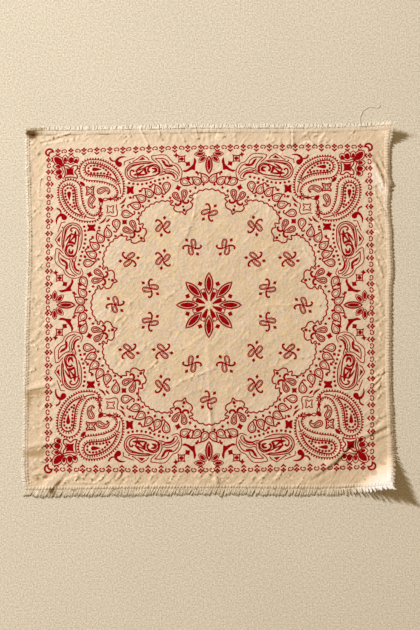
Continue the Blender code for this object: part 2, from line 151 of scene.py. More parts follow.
# Creases, as soft ridges: half the width, the height, which is negative for a trough, and the x and y
# of each point of the course.
CREASES = [
    # the old fold down the middle
    (5.2, 0.72, -2, 262, 3, 205),
    (1.9, -0.72, 1, 266, 2.7, 250),
    (2.6, 0.58, -18, 175, -23, 136, -33, 108),
    (2.6, 0.51, -33, 108, -46, 92),
    (2.6, 0.43, -46, 92, -48, 78),
    (5.2, 0.43, -2, -60, 0, -140),
    (3, 1.45, 1, -150, 2.5, -187),
    (3.7, 1.59, 8, -240, 12, -270),
    # the old fold across the middle
    (4.4, 0.43, -268, 8, -120, 2),
    (2.2, 0.65, 88, -1, 124, -1),
    (2.2, 0.65, 152, -1, 168, -1),
    (5.2, 0.43, 168, 0, 240, 6),
    # the field's slanting creases
    (2.6, 0.58, -41, -68, -7, -46),
    (2.6, 0.72, -52, -124, -41, -115),
    (2.6, 0.8, -41, -115, -18, -107),
    (2.6, 0.72, -18, -107, 9, -96),
    (2.2, 0.72, -98, -109, -78, -85),
    (1.9, -0.43, -91, -100, -75, -86),
    (2.2, 0.58, -102, -133, -93, -120),
    (2.2, 0.51, -139, 39, -124, 47),
    (1.9, 0.43, -143, -74, -142, -88),
    (2.2, 0.51, 44, -130, 59, -120),
    (2.6, 0.65, 110, -92, 128, -81),
    (2.6, 0.58, 128, -81, 153, -78),
    (2.6, 0.65, 143, 84, 158, 62),
    (2.2, 0.58, 84, 82, 104, 97),
    # the lower left corner
    (7.5, 1.7, -247, -285, -243, -279.6),
    (7.5, 1.6, -243, -279.6, -236.3, -271.3),
    (7, 1.5, -236.3, -271.3, -228.4, -264.2),
    (6, 1.1, -228.4, -264.2, -219, -256),
    (2.2, -2, -242.5, -289, -238.4, -283.4),
    (2, -2, -238.4, -283.4, -231.8, -275.8),
    (1.9, -1.4, -231.8, -275.8, -223.6, -268.9),
    (1.6, -0.7, -223.6, -268.9, -217.4, -263.6),
    (2.4, 0.7, -247, -262, -238, -270),
    (2.6, 1.6, -221, -271.5, -215, -264.6),
    (2.2, 1.5, -215, -264.6, -206.6, -260.6),
    (2.2, 1.2, -206.6, -260.6, -190, -255.6),
    (1.6, 0.9, -198, -268.4, -171, -268),
    (1.7, 1, -171, -268, -160, -260.6),
    (2.2, 0.5, -190, -259, -176, -252),
    (1.8, 0.6, -206, -265, -196, -262),
    (1.8, -0.6, -176, -268, -167, -264),
    (2, -0.8, -168, -266, -161, -257),
    (2.2, 0.6, -166, -268, -158, -257),
    (1.8, -0.6, -182, -256, -174, -248),
    (2.4, -0.8, -262, -262, -252, -258),
    (2.4, -0.8, -252, -264, -243, -262),
    (3, 0.7, -264, -256, -248, -254),
    (2.4, 0.5, -268, -232, -262, -246),
    (4.5, 1.5, -270, -214, -232, -208),
    (4.4, 1.59, -270, -127, -236, -120),
    # the left margin
    (3, 0.87, -268, -56, -256, -41),
    (2.2, -0.58, -268, -40, -252, -33, -246, -21),
    (2.2, 0.72, -270, 12, -259, 10, -246, 5),
    (1.8, 0.5, -254, 150, -256, 172),
    (1.9, 0.7, -256, 172, -253, 190, -243, 198),
    (1.5, -0.4, -250, 211, -254, 178),
    (1.8, 0.7, -266, 243, -261, 251),
    (1.5, -0.5, -262, 236, -262, 222),
    # the top margin
    (1.7, 1.2, -252.3, 247.2, -237.2, 250.5),
    (1.7, 1.4, -237.2, 250.5, -226.2, 254.7),
    (1.6, 1.3, -226.2, 254.7, -210, 258.6),
    (1.3, -1.1, -251.6, 244, -236.3, 247.4),
    (1.3, -1.3, -236.3, 247.4, -225.2, 251.6),
    (1.2, -1.1, -225.2, 251.6, -210, 255.4),
    (2, 0.72, -246, 242, -214, 247),
    (1.9, 1.5, -91, 242, -103, 266),
    (1.8, 1.15, -35.8, 247, -43.6, 260),
    (1.8, 1.15, -14.6, 252, -19.6, 265),
    (1.8, 0.8, -69, 250, -75, 262),
    (1.9, 0.84, 11, 249, 14, 256, 23, 254),
    (4, 0.9, 121.5, 243, 121.5, 262),
    (2.6, 1.2, 126.5, 262, 126.5, 243),
    (1.9, -0.84, 133, 240, 141, 246, 154, 249),
    (2.2, 1.26, 145.6, 257.6, 157.6, 242),
    (2.2, 1.04, 167, 245, 176, 259),
    # the right margin
    (3.6, 1.6, 263.5, 182, 258.4, 197),
    (3.4, 1.6, 258.4, 197, 252, 211),
    (3, 1.2, 252, 211, 245.6, 220),
    (6, 0.5, 252, 183, 246, 202),
    (1.5, -0.9, 266, 188, 261.6, 199.6, 255.4, 213),
    (1.4, -0.7, 255.4, 213, 249, 221.6),
    (2.6, 0.9, 269, 195, 258, 221),
    (1.4, -0.9, 267, 206, 256.6, 231),
    (2.2, 0.7, 268, 212, 260, 232),
    (2.4, 1.5, 266.4, 137, 259, 152),
    (2.4, 1.3, 259, 152, 249.6, 169),
    (1.3, -0.9, 269, 140, 261.8, 154),
    (1.3, -0.8, 261.8, 154, 252.6, 170),
    (2.3, 1.4, 262.4, 103, 248.6, 124),
    (1.3, -0.9, 265, 105.4, 251.6, 126),
    (2.2, 1.3, 262.9, 43.2, 256, 61.5),
    (2, 1.2, 256, 61.5, 249.3, 79.4),
    (1.3, -0.9, 265.9, 44.4, 252.3, 80.6),
    (2.6, 0.9, 261, 0, 252, 33),
    (1.3, -1, 249.6, -111.4, 259, -106.8, 268.3, -102.8),
    (2, 0.8, 250, -108.6, 268, -100),
    (1.3, -0.9, 249.6, -122.3, 259.7, -112.2),
    (1.9, 0.6, 250, -118, 260, -109),
    (1.3, -0.9, 257.3, -125.9, 268, -125.9),
    (1.8, 0.6, 256, -122.8, 268, -122.6),
    (1.6, -0.8, 251, -188, 259, -172),
    (3.5, 0.8, 236, -182, 266, -166),
    (2.5, -0.7, 240, -190, 262, -176),
    (3, -0.6, 264, -245, 275, -228),
]

# Patches of many small creases: the box that they lie in, how many, their slope in degrees and its
# spread, their longest length and their greatest height.
CREASE_PATCHES = [
    ((-205, -270, 150, -252), 84, 50, 16, 15, 0.85),
    ((-168, -100, -70, 0), 34, 52, 14, 24, 0.55),
    ((-90, 246, 240, 260), 30, 70, 30, 10, 0.80),
    ((-250, 246, -100, 258), 16, 30, 30, 12, 0.75),
    ((-266, -250, -248, 190), 60, 10, 50, 11, 0.85),
    ((250, -170, 264, -20), 44, 48, 26, 12, 0.75),
    ((250, -20, 264, 150), 26, 40, 30, 10, 0.55),
    ((250, -50, 264, 180), 26, 118, 12, 20, 1.0),
    ((-150, -150, 150, 150), 90, 48, 40, 22, 0.5),
]

# How a crease's height falls off: how sharply, how steep both of its sides are, how much steeper the
# right one is than that and the left one less so, and how many half widths away it no longer counts.
CREASE_FALL, STEEPNESS, RIGHT_STEEPER = 1.6, 1.12, 0.42
CREASE_REACH = 2.6
CREASE_LIMITS = (-0.2, 1.75)  # creases that cross don't add up beyond these heights

# The slack between the creases: how high it lies, its soft lumps (height, size, seed), its nets of
# sharp ridges (height, size, turn, seed), and the puffs beside the hems (side, width, pitch, seed).
SLACK_LIFT = 0.12
LUMPS = [(0.16, 34.0, 3), (0.11, 13.0, 4), (0.06, 6.5, 5)]
CRINKLES = [(0.24, 14.0, 50, 41), (0.20, 9.0, 38, 43), (0.14, 16.0, 118, 45)]
PUFFS = [("right", 6.0, 4.1, 61), ("left", 3.5, 5.0, 63), ("bottom", 5.0, 4.7, 65)]
PUFF_HEIGHT = 0.30

# The loose thread's course over the table, and that of a stray whisker at the right edge.
THREAD_COURSE = [(228.3, 275.2), (228.4, 281.0), (229.6, 287.6), (233.0, 293.2), (238.6, 297.6),
                 (245.2, 298.9), (251.0, 298.0), (255.2, 297.7), (259.2, 301.6)]  # fmt: skip
WHISKER_COURSE = [(279.0, -213.0), (283.0, -214.5), (287.5, -215.0)]


# ---------------------------------------------------------------- how the cloth lies


def eased(share):
    """A share from 0 to 1 that starts and ends gently."""
    return share * share * (3.0 - 2.0 * share)


def band(off, half_width):
    """1 on a line, and nearly 0 well beyond a half width from it."""
    return np.exp(-((off / half_width) ** 2))


def humps(place, pitch, bluntness, start=0.0):
    """Round tops at a pitch, with sharp valleys between them, from 0 to 1."""
    return np.abs(np.sin(np.pi * place / pitch + start)) ** bluntness


def along_and_across(x, y, turn):
    """How far points are from the origin along a direction, and how far to the left of it."""
    c, s = math.cos(math.radians(turn)), math.sin(math.radians(turn))
    return x * c + y * s, -x * s + y * c


def along(table, place):
    """The value of a (place, value) table at a place, with the steps between its rows rounded off."""
    places = np.array([row[0] for row in table], float)
    values = np.array([row[1] for row in table], float)
    place = np.clip(place, places[0], places[-1])
    step = np.clip(np.searchsorted(places, place, side="right") - 1, 0, len(places) - 2)
    share = eased((place - places[step]) / (places[step + 1] - places[step]))
    return values[step] + (values[step + 1] - values[step]) * share


def plan(u, v):
    """Where the point (u, v) of the cloth as cut lies on the table, in x and y."""
    right_share = np.clip((u - LEFT) / (RIGHT - LEFT), 0.0, 1.0)
    top_share = np.clip((v - BOTTOM) / (TOP - BOTTOM), 0.0, 1.0)
    x = u + along(BOWS["left"], v) * (1.0 - right_share) + along(BOWS["right"], v) * right_share
    y = v + along(BOWS["bottom"], u) * (1.0 - top_share) + along(BOWS["top"], u) * top_share
    return x, y


def raised(x, y):
    """How far the cloth's underside stands off the table at (x, y)."""
    height = np.zeros_like(np.asarray(x, float))
    for (px, py), (dx, dy), rise, bend in LIFTED_CORNERS:
        beyond = (x - px) * dx + (y - py) * dy
        rounded = np.clip(beyond + bend, 0.0, 2.0 * bend) ** 2 / (4.0 * bend)
        height = height + rise * (rounded + np.clip(beyond - bend, 0.0, None))
    return height


def drawn_creases():
    """The creases of the tables, as rows of (x0, y0, x1, y1, half width, height), one a stretch."""
    rows = []
    for half_width, height, *course in CREASES:
        for k in range(0, len(course) - 2, 2):
            rows.append((*course[k : k + 4], half_width, height))
    for dx, dy, half_width, height in DEEP_FOLD_BANKS:
        for (ax, ay, a), (bx, by, b) in zip(DEEP_FOLD, DEEP_FOLD[1:]):
            rows.append((ax + dx, ay + dy, bx + dx, by + dy, half_width, height * (a + b) / 2))
    return rows


def scattered_creases():
    """The small creases of all the patches, as rows like those of drawn_creases()."""
    uneven = random.Random(11)
    rows = []
    for (x0, y0, x1, y1), count, slope, spread, longest, highest in CREASE_PATCHES:
        for _ in range(count):
            x, y = uneven.uniform(x0, x1), uneven.uniform(y0, y1)
            turn = math.radians(slope + uneven.uniform(-1, 1) * spread)
            half = longest * uneven.uniform(0.25, 0.5)
            height = uneven.choice((-1, 1, 1)) * uneven.uniform(0.4, 1.0) * highest
            dx, dy = half * math.cos(turn), half * math.sin(turn)
            rows.append((x - dx, y - dy, x + dx, y + dy, uneven.uniform(1.3, 2.1), height))
    return rows


ALL_CREASES = drawn_creases() + scattered_creases()


def noise(x, y, size, seed):
    """Soft random heights from about -1 to 1, in lumps of about a size."""
    cells = 64
    table = np.random.default_rng(seed).uniform(-1.0, 1.0, (cells, cells))
    a, b = np.asarray(x) / size + cells, np.asarray(y) / size + cells
    i, j = np.floor(a).astype(int), np.floor(b).astype(int)
    s, t = eased(a - i), eased(b - j)
    i0, i1, j0, j1 = i % cells, (i + 1) % cells, j % cells, (j + 1) % cells
    low = table[i0, j0] * (1 - s) + table[i1, j0] * s
    high = table[i0, j1] * (1 - s) + table[i1, j1] * s
    return low * (1 - t) + high * t


def patchy(x, y, size, seed, mean, swing, most):
    """A strength that comes and goes in lumps of about a size, from 0 to the most that it may be."""
    return np.clip(mean + swing * noise(x, y, size, seed), 0, most)


def crinkled(x, y, size, turn, seed):
    """A net of fine sharp ridges, drawn out along a direction: 0 between them and 1 on top."""
    longer, swerve, sharpness = 2.4, 3.0, 4
    a, b = along_and_across(x, y, turn)
    bent = a / longer + swerve * noise(x, y, 2.5 * size, seed + 1)
    return (1.0 - np.abs(noise(bent, b, size, seed))) ** sharpness


def gathered(x, y):
    """The small puffs that the hems draw into the cloth beside them, from 0 to about 1."""
    total = np.zeros_like(x)
    for side, width, pitch, seed in PUFFS:
        edge, outward = EDGES[side]
        place, off = (x, y) if side == "bottom" else (y, x)
        within = (edge + along(BOWS[side], place) - off) * outward
        strength = patchy(x, y, 16.0, seed + 1, mean=0.75, swing=0.8, most=1.3)
        slant = place + 0.35 * within + 2.4 * noise(x, y, 11.0, seed)
        total += band(within, width) * strength * humps(slant, pitch, 0.7)
    return total


def creased(x, y):
    """How far the creases and the slack between them raise the cloth's face at (x, y)."""
    x, y = np.asarray(x, float), np.asarray(y, float)
    height = np.full_like(x, SLACK_LIFT)
    for x0, y0, x1, y1, half_width, crest in ALL_CREASES:
        limit = CREASE_REACH * half_width
        near = (x > min(x0, x1) - limit) & (x < max(x0, x1) + limit)
        near &= (y > min(y0, y1) - limit) & (y < max(y0, y1) + limit)
        if not near.any():
            continue
        px, py, length = x[near] - x0, y[near] - y0, math.hypot(x1 - x0, y1 - y0)
        share = np.clip((px * (x1 - x0) + py * (y1 - y0)) / length**2, 0.0, 1.0)
        off = np.hypot(px - share * (x1 - x0), py - share * (y1 - y0)) + 1e-6
        rightwards = (px * (y1 - y0) - py * (x1 - x0)) / length / off
        steepness = STEEPNESS + RIGHT_STEEPER * rightwards
        height[near] += crest * np.exp(-CREASE_FALL * (off / half_width * steepness) ** 2)
    height += sum(rise * noise(x, y, size, seed) for rise, size, seed in LUMPS)
    height += sum(rise * crinkled(x, y, size, turn, seed) for rise, size, turn, seed in CRINKLES)
    height += PUFF_HEIGHT * gathered(x, y)
    return np.clip(height, *CREASE_LIMITS)


def cloth_top(x, y):
    """The height of the cloth's printed face at (x, y)."""
    return raised(x, y) + CLOTH_WALL + creased(x, y)


def upward(x, y, surface):
    """The directions that a surface, height over (x, y), faces in at its points."""
    step = 0.35
    slope_x = (surface(x + step, y) - surface(x - step, y)) / (2 * step)
    slope_y = (surface(x, y + step) - surface(x, y - step)) / (2 * step)
    facing = np.stack([-slope_x, -slope_y, np.ones_like(slope_x)], axis=1)
    return facing / np.linalg.norm(facing, axis=1)[:, None]


# ---------------------------------------------------------------- drawing on the print's grid

# A shape is a closed outline and whether it is filled with ink or left bare. Later shapes lie over
# earlier ones.

HALF = 160.0  # steps from the middle of the print to its border
CURVE = 1.15  # how far apart the points of a curve are, in steps
WEIGHT = 1.19  # how much wider the ink has spread than the lines were cut
INK, BARE = True, False

# Where the print's border lies on the cloth, in millimetres: its corners, the middles of its sides and
# its centre, a row for each height.
PRINT_PLACES = [
    [(-242.5, -246.9), (0.2, -248.4), (245.4, -243.3)],
    [(-242.2, 0.0), (0.0, 0.0), (244.8, 0.0)],
    [(-240.2, 230.4), (0.2, 237.1), (241.0, 237.8)],
]


def on_cloth(points):
    """Points of the print's grid as millimetres on the table: a smooth curve through PRINT_PLACES."""
    points = np.asarray(points, float) / HALF
    a, b = points[:, 0], points[:, 1]
    across = [a * (a - 1) / 2, 1 - a * a, a * (a + 1) / 2]
    upwards = [b * (b - 1) / 2, 1 - b * b, b * (b + 1) / 2]
    found = np.zeros_like(points)
    for row, row_share in zip(PRINT_PLACES, upwards):
        for place, share in zip(row, across):
            found += (row_share * share)[:, None] * np.array(place)
    return found


def spline(course, closed=False, step=CURVE):
    """Points on a smooth curve through a course of points, about a step apart."""
    course = np.asarray(course, float)
    if closed:
        padded = np.vstack([course[-1], course, course[0], course[1]])
    else:
        padded = np.vstack([2 * course[0] - course[1], course, 2 * course[-1] - course[-2]])
    found = []
    for i in range(len(padded) - 3):
        p0, p1, p2, p3 = padded[i : i + 4]
        pieces = max(1, round(float(np.hypot(*(p2 - p1)[:2])) / step))
        t = (np.arange(pieces) / pieces)[:, None]
        bent = 2 * p1 + (p2 - p0) * t + (2 * p0 - 5 * p1 + 4 * p2 - p3) * t**2
        found.append(0.5 * (bent + (3 * p1 - p0 - 3 * p2 + p3) * t**3))
    if not closed:
        found.append(course[-1:])
    return np.vstack(found)


def sideways(points, closed=False):
    """The direction to the left of a line's course at each of its points."""
    if closed:
        ahead = np.roll(points, -1, axis=0) - np.roll(points, 1, axis=0)
    else:
        ahead = np.gradient(points, axis=0)
    ahead = ahead / np.maximum(np.linalg.norm(ahead, axis=1), 1e-9)[:, None]
    return np.stack([-ahead[:, 1], ahead[:, 0]], axis=1)


def runs_clockwise(outline):
    x, y = outline[:, 0], outline[:, 1]
    return np.sum(x * np.roll(y, -1) - y * np.roll(x, -1)) < 0


def grown(outline, distance):
    """A closed outline moved outwards by a distance, or inwards by a negative one."""
    leftwards = distance if runs_clockwise(outline) else -distance
    return outline + sideways(outline, closed=True) * leftwards


def solid(outline):
    return [(np.asarray(outline, float), INK)]


def ring(outline, width):
    """A drawn outline: ink, and the bare cloth inside it."""
    return solid(outline) + [(grown(outline, -width * WEIGHT), BARE)]


def line(course, widths, curved=True):
    """A drawn line, whose width changes evenly through the values given."""
    points = spline(course) if curved else np.asarray(course, float)
    widths = np.atleast_1d(widths).astype(float)
    run = np.concatenate([[0], np.cumsum(np.hypot(*np.diff(points, axis=0).T))])
    share = run / run[-1] * (len(widths) - 1)
    half = np.interp(share, range(len(widths)), widths)[:, None] / 2 * WEIGHT
    side = sideways(points)
    return solid(np.vstack([points + side * half, (points - side * half)[::-1]]))


def turned(points, degrees):
    angle = math.radians(degrees)
    matrix = np.array([[math.cos(angle), math.sin(angle)], [-math.sin(angle), math.cos(angle)]])
    return np.asarray(points, float) @ matrix


def polar(angle, distance):
    return distance * math.cos(math.radians(angle)), distance * math.sin(math.radians(angle))


def ellipse(x, y, half_length, half_width, turn=0.0):
    """The outline of an oval."""
    count = max(6, round(2 * math.pi * max(half_length, half_width) / CURVE))
    angles = np.arange(count) * 2 * math.pi / count
    points = np.stack([half_length * np.cos(angles), half_width * np.sin(angles)], axis=1)
    return turned(points, turn) + (x, y)


def dot(x, y, half_length, half_width=None):
    """A filled oval, or a round dot where one size is given."""
    return solid(ellipse(x, y, half_length, half_width or half_length))


def leaf(x, y, turn, length, width, blunt=1.0):
    """The outline of a leaf with a point at both ends, around (x, y) and turned from the x axis."""
    count = max(3, round(length / CURVE))
    t = np.linspace(-1, 1, count + 1)
    half = width / 2 * (1 - np.abs(t) ** 2) ** blunt
    upper = np.stack([t * length / 2, half], axis=1)
    lower = np.stack([t * length / 2, -half], axis=1)[::-1]
    return turned(np.vstack([upper, lower[1:-1]]), turn) + (x, y)


def diamond(length, width):
    return np.array([(length / 2, 0), (0, width / 2), (-length / 2, 0), (0, -width / 2)], float)


def pinched_square(half, pinch, notched=()):
    """A square with its sides drawn in; on the notched sides, deeper in the middle only."""
    points = []
    for side in range(4):
        row = [(-1, -1), (-0.5, -1 + pinch * 0.75), (0, -1 + pinch), (0.5, -1 + pinch * 0.75)]
        if side in notched:
            row = [(-1, -1), (-0.45, -1.05), (0, -1 + pinch * 1.4), (0.45, -1.05)]
        points.append(turned(np.array(row, float) * half, 90 * side))
    return np.vstack(points)


def horn(spine, shrink=0.0):
    """A comma's outline: its spine is (x, y, radius) rows from the middle of its round head."""
    rows = spline(np.asarray(spine, float))
    rows = rows[rows[:, 2] - shrink > 0.05]
    centre, radius = rows[:, :2], (rows[:, 2] - shrink)[:, None]
    side = sideways(centre)
    left, right = centre + side * radius, centre - side * radius
    start = math.atan2(side[0, 1], side[0, 0])
    count = max(4, round(math.pi * radius[0, 0] / CURVE))
    bends = start + math.pi + math.pi * -np.arange(1, count) / count
    cap = centre[0] + radius[0, 0] * np.stack([np.cos(bends), np.sin(bends)], axis=1)
    return np.vstack([left, right[::-1], cap])


def evenly(outline, pitch, closed=True):
    """Places at an even pitch along an outline: the points, and the ways on and outwards at each."""
    loop = np.vstack([outline, outline[:1]]) if closed else outline
    steps = np.hypot(*np.diff(loop, axis=0).T)
    run = np.concatenate([[0], np.cumsum(steps)])
    count = max(2, round(run[-1] / pitch))
    at = (np.arange(count) + 0.5) * run[-1] / count
    points = np.stack([np.interp(at, run, loop[:, k]) for k in (0, 1)], axis=1)
    ahead = np.stack([np.interp(at + 0.3, run, loop[:, k]) for k in (0, 1)], axis=1) - points
    ahead /= np.maximum(np.linalg.norm(ahead, axis=1), 1e-9)[:, None]
    out = np.stack([ahead[:, 1], -ahead[:, 0]], axis=1)
    if closed and runs_clockwise(outline):
        out = -out
    return points, ahead, out


def toothed(outline, pitch, base, height):
    """Small solid teeth that stand outwards on an outline, half as wide at their tips as at the base."""
    shapes = []
    for point, ahead, out in zip(*evenly(outline, pitch)):
        foot, tip = point - out * 0.3, point + out * height
        sides = [(foot, -base / 2), (foot, base / 2), (tip, base / 4), (tip, -base / 4)]
        shapes += solid([end + ahead * along_it for end, along_it in sides])
    return shapes


def beaded(outline, pitch, length, width):
    """Oval beads along an outline."""
    shapes = []
    for point, ahead, _ in zip(*evenly(outline, pitch)):
        turn = math.degrees(math.atan2(ahead[1], ahead[0]))
        shapes += solid(ellipse(*point, length / 2, width / 2, turn))
    return shapes


def moved(shapes, x=0.0, y=0.0, turn=0.0):
    """Shapes turned about the origin, and moved to a place."""
    return [(turned(points, turn) + (x, y), ink) for points, ink in shapes]


def swapped(shapes):
    """Shapes mirrored in the line from the upper left corner to the lower right one."""
    return [(-points[:, ::-1], ink) for points, ink in shapes]


def both_sides(shapes):
    """Shapes, and their copies mirrored from left to right."""
    return shapes + [(points * (-1, 1), ink) for points, ink in shapes]


def four_ways(shapes):
    """Shapes of the top side, and their copies turned to the other three sides."""
    return [shape for turn in (0, 90, 180, 270) for shape in moved(shapes, turn=turn)]


def eight_ways(shapes):
    """Shapes of the top side's left half, mirrored and turned to all the sides."""
    return four_ways(both_sides(shapes))


# ---------------------------------------------------------------- the print's motifs

# Paisley spines, in grid steps: (x, y, radius) from the head to the tail.
PAISLEY = [(-118.6, 139.5, 10.9), (-111.9, 138.9, 11.0), (-105.6, 136.9, 10.2), (-100.0, 134.0, 8.9),
           (-95.2, 130.2, 7.3), (-91.6, 126.2, 5.5), (-89.5, 121.8, 3.9), (-88.6, 117.9, 2.9),
           (-88.5, 114.4, 2.3), (-90.0, 111.2, 1.8), (-92.0, 109.8, 1.3)]  # fmt: skip
PAISLEY_LINING = [(-118.1, 140.6, 6.9), (-111.9, 139.7, 6.7), (-106.3, 138.2, 5.8),
                  (-101.3, 136.0, 4.7), (-97.0, 133.0, 3.4), (-93.4, 128.9, 1.9),
                  (-90.6, 123.6, 0.6)]  # fmt: skip
PAISLEY_BEADS = [(-117.2, 140.1, 4.1), (-111.3, 139.6, 4.0), (-106.3, 138.2, 2.8),
                 (-102.3, 135.9, 1.6), (-99.0, 133.8, 0.5)]  # fmt: skip
SMALL_PAISLEY = [(-109.0, 116.9, 3.6), (-105.4, 118.6, 3.1), (-102.2, 118.6, 2.3),
                 (-99.9, 116.8, 1.4), (-99.7, 114.6, 0.9)]  # fmt: skip
LEAF_PAISLEY = [(-74.5, 136.3, 10.2), (-66.0, 136.8, 10.6), (-58.6, 137.4, 9.5), (-52.2, 137.0, 6.8),
                (-47.4, 134.8, 3.0), (-43.0, 134.6, 1.0)]  # fmt: skip
LEAF_PAISLEY_EYE = [(-55.0, 137.9, 6.5), (-60.0, 136.6, 6.2), (-66.0, 134.9, 5.2), (-72.5, 133.6, 4.5)]

# The leaf that lies against the long paisley: its nested lines, (x, y) rows, and how wide each is.
SIDE_LEAF_LINES = [
    ([(-57.8, 152.7), (-47.6, 153.7), (-42.0, 152.2), (-36.1, 145.5), (-31.7, 143.5), (-27.4, 137.5),
      (-27.6, 130.1), (-31.5, 125.6), (-37.4, 127.6)], 0.8),
    ([(-57.8, 152.7), (-57.0, 149.6), (-53.7, 146.4), (-50.6, 142.9)], 0.9),
    ([(-54.1, 149.7), (-48.4, 149.9), (-44.3, 149.1), (-41.0, 146.4), (-39.4, 143.0), (-35.3, 142.6),
      (-31.5, 139.5), (-29.0, 133.4)], 0.95),
    ([(-54.1, 149.7), (-50.4, 146.4), (-47.6, 142.6), (-45.5, 138.4), (-41.0, 139.1), (-36.1, 138.0),
      (-32.1, 135.1), (-29.6, 131.6)], 0.85),
    ([(-47.6, 135.6), (-42.7, 136.7), (-37.8, 136.0), (-33.7, 133.5), (-31.2, 130.1), (-32.3, 127.9),
      (-34.5, 128.5)], 0.85),
    ([(-52.0, 133.4), (-45.0, 134.4), (-38.4, 134.0), (-35.2, 131.6), (-34.4, 129.2)],
     (0.5, 1.4, 2.0, 1.5)),
]  # fmt: skip
SIDE_LEAF_CORE = [(-48.0, 148.4), (-44.6, 147.0), (-42.2, 143.4), (-36.0, 142.0), (-36.6, 140.8),
                  (-43.4, 141.2)]  # fmt: skip


def border_cluster():
    """Four diamonds that touch in a ring, over a chevron, for the top side."""
    shapes = solid(diamond(2.7, 3.1) + (0, 2.55)) + solid(diamond(2.7, 3.1) + (0, -0.15))
    for side in (-1, 1):
        shapes += solid(diamond(3.2, 2.6) + (1.65 * side, 1.2))
    shapes.append((ellipse(0, 1.2, 0.45, 0.45), BARE))
    chevron = [(-2.9, -2.0), (-1.9, -1.1), (0, -2.5), (1.9, -1.1), (2.9, -2.0), (1.5, -3.3)]
    return shapes + solid(chevron + [(0, -4.8), (-1.5, -3.3)])


def border_loop(lean):
    """A small crescent loop, round towards the cloth's edge and drawn in from its middle, with a gap."""
    angles = np.radians(np.linspace(-36, 216, 13))
    across = 2.3 * np.cos(angles) + lean * (1 - np.sin(angles))
    points = np.stack([across, 2.0 * np.sin(angles)], axis=1)
    shapes = line(points + (0, 0.2), 0.95, curved=False)
    left, right, pit = points[-1], points[0], np.array([lean, -0.3])
    near, far = (left, right) if lean >= 0 else (right, left)
    shapes += line([near, pit], 0.95, curved=False)
    shapes += line([far, far + (pit - far) * 0.62], 0.95, curved=False)
    return shapes


def border():
    """The rows of clusters and loops round the cloth, and a crescent at each corner."""
    shapes = []
    pitch, first, clusters = 13.04, 8.3, 12
    leans = (0.4, -0.5, 0.1, 0.3, -0.1, 0.7, -0.3, 0.1, 0.2, -0.6, 0.3)
    for k in range(clusters):
        at = first + pitch * k
        for side in (-1, 1):
            shapes += moved(border_cluster(), side * at, HALF)
            if k < len(leans):
                shapes += moved(border_loop(side * leans[k]), side * (at + pitch / 2), HALF)
    shapes += moved(border_loop(0.3), 3.0, HALF) + moved(border_loop(-0.3), -3.0, HALF)
    shapes += ring(ellipse(-HALF - 0.3, HALF - 0.1, 4.6, 4.6), 1.7)
    shapes += ring(ellipse(-HALF + 1.9, HALF - 2.3, 3.6, 3.6), 1.6)
    shapes += [(ellipse(-HALF + 3.3, HALF - 3.7, 3.3, 3.3), BARE)]
    return four_ways(shapes)


def corner_fan():
    """Petals that spread out of the corner square, and the square with its solid star."""
    big = leaf(-151.2, 150.3, -45, 12.0, 6.6, 0.75)
    shapes = ring(grown(big, 1.9), 0.95)
    petals = [(-144.4, 151.6, 90, 5.2, 3.6, 9.2), (-138.4, 151.2, 86, 6.2, 4.9, 9.8),
              (-133.4, 149.9, 66, 4.8, 3.8, 7.6)]  # fmt: skip
    half = []
    for x, y, turn, length, width, outline_length in petals:
        half += ring(leaf(x, y + 0.8, turn, outline_length, width + 2.8, 0.75), 0.85)
    for x, y, turn, length, width, _ in petals:
        half += solid(leaf(x, y, turn, length, width, 0.55))
    shapes += half + swapped(half) + solid(big)
    square = spline(pinched_square(7.3, 0.20, notched=(1, 2)), closed=True) + (-139.1, 137.7)
    shapes += [(square, BARE)] + ring(square, 1.2)
    shapes += solid(pinched_square(4.4, 0.24) + (-139.5, 138.3))
    edge = [(-131.2, 147.0), (-134.6, 147.6), (-138.6, 146.0), (-142.6, 147.6), (-146.2, 146.6),
            (-148.6, 145.2)]  # fmt: skip
    scallops = line(edge, (0.8, 0.9, 0.9))
    return shapes + scallops + swapped(scallops)


def corner_squares():
    """The squares and small leaves that stand on the diagonal, inside the fan."""
    shapes = solid(leaf(-126.8, 125.0, -45, 7.6, 3.6, 0.8)) + solid(leaf(-108.3, 107.5, -45, 7.4, 4.6))
    shapes += ring(pinched_square(4.9, 0.20, notched=(0, 2)) + (-119.0, 117.4), 1.4)
    for dx, dy in ((1.3, 1.3), (1.3, -1.3), (-1.3, 1.3), (-1.3, -1.3)):
        shapes += dot(-119.0 + dx, 117.4 + dy, 0.95)
    outer = [(-92.4, 103.0), (-92.6, 99.0), (-91.6, 95.6), (-92.0, 91.2), (-96.2, 90.2), (-99.6, 91.2),
             (-103.2, 90.4)]  # fmt: skip
    shapes += line(outer, (0.8, 1.0, 0.8))
    shapes += ring(pinched_square(4.1, 0.20, notched=(0, 2)) + (-98.6, 97.6), 1.0)
    return shapes


def toothed_paisley():
    """The large corner paisley: a toothed outline, a combed lining, a row of beads and a core."""
    outline = grown(horn(PAISLEY), 0.5)
    shapes = ring(outline, 0.8) + toothed(outline, 2.62, 2.1, 1.6)
    lining = horn(PAISLEY_LINING)
    shapes += ring(lining, 1.25)
    for point, _, out in zip(*evenly(lining, 2.3)):
        shapes += line([point, point + out * 1.9], 1.0, curved=False)
    shapes += line([(-90.8, 124.0), (-89.0, 119.0), (-88.4, 113.6)], 1.0)
    shapes += beaded(grown(horn(PAISLEY_BEADS), -0.1), 3.25, 2.9, 2.5)
    shapes += solid(horn([(-115.3, 140.1, 2.1), (-112.4, 140.0, 1.6), (-107.8, 139.8, 0.3)]))
    for turn in range(20, 380, 45):
        dx, dy = polar(turn, 2.3)
        shapes += solid(leaf(dx - 93.2, dy + 109.0, turn, 3.6, 1.5))
    shapes += solid(leaf(-98.6, 108.4, 2, 7.6, 2.9, 0.8)) + solid(leaf(-98.6, 108.4, 90, 5.4, 1.7))
    return shapes + ring(ellipse(-103.6, 108.1, 2.7, 1.9), 0.9)


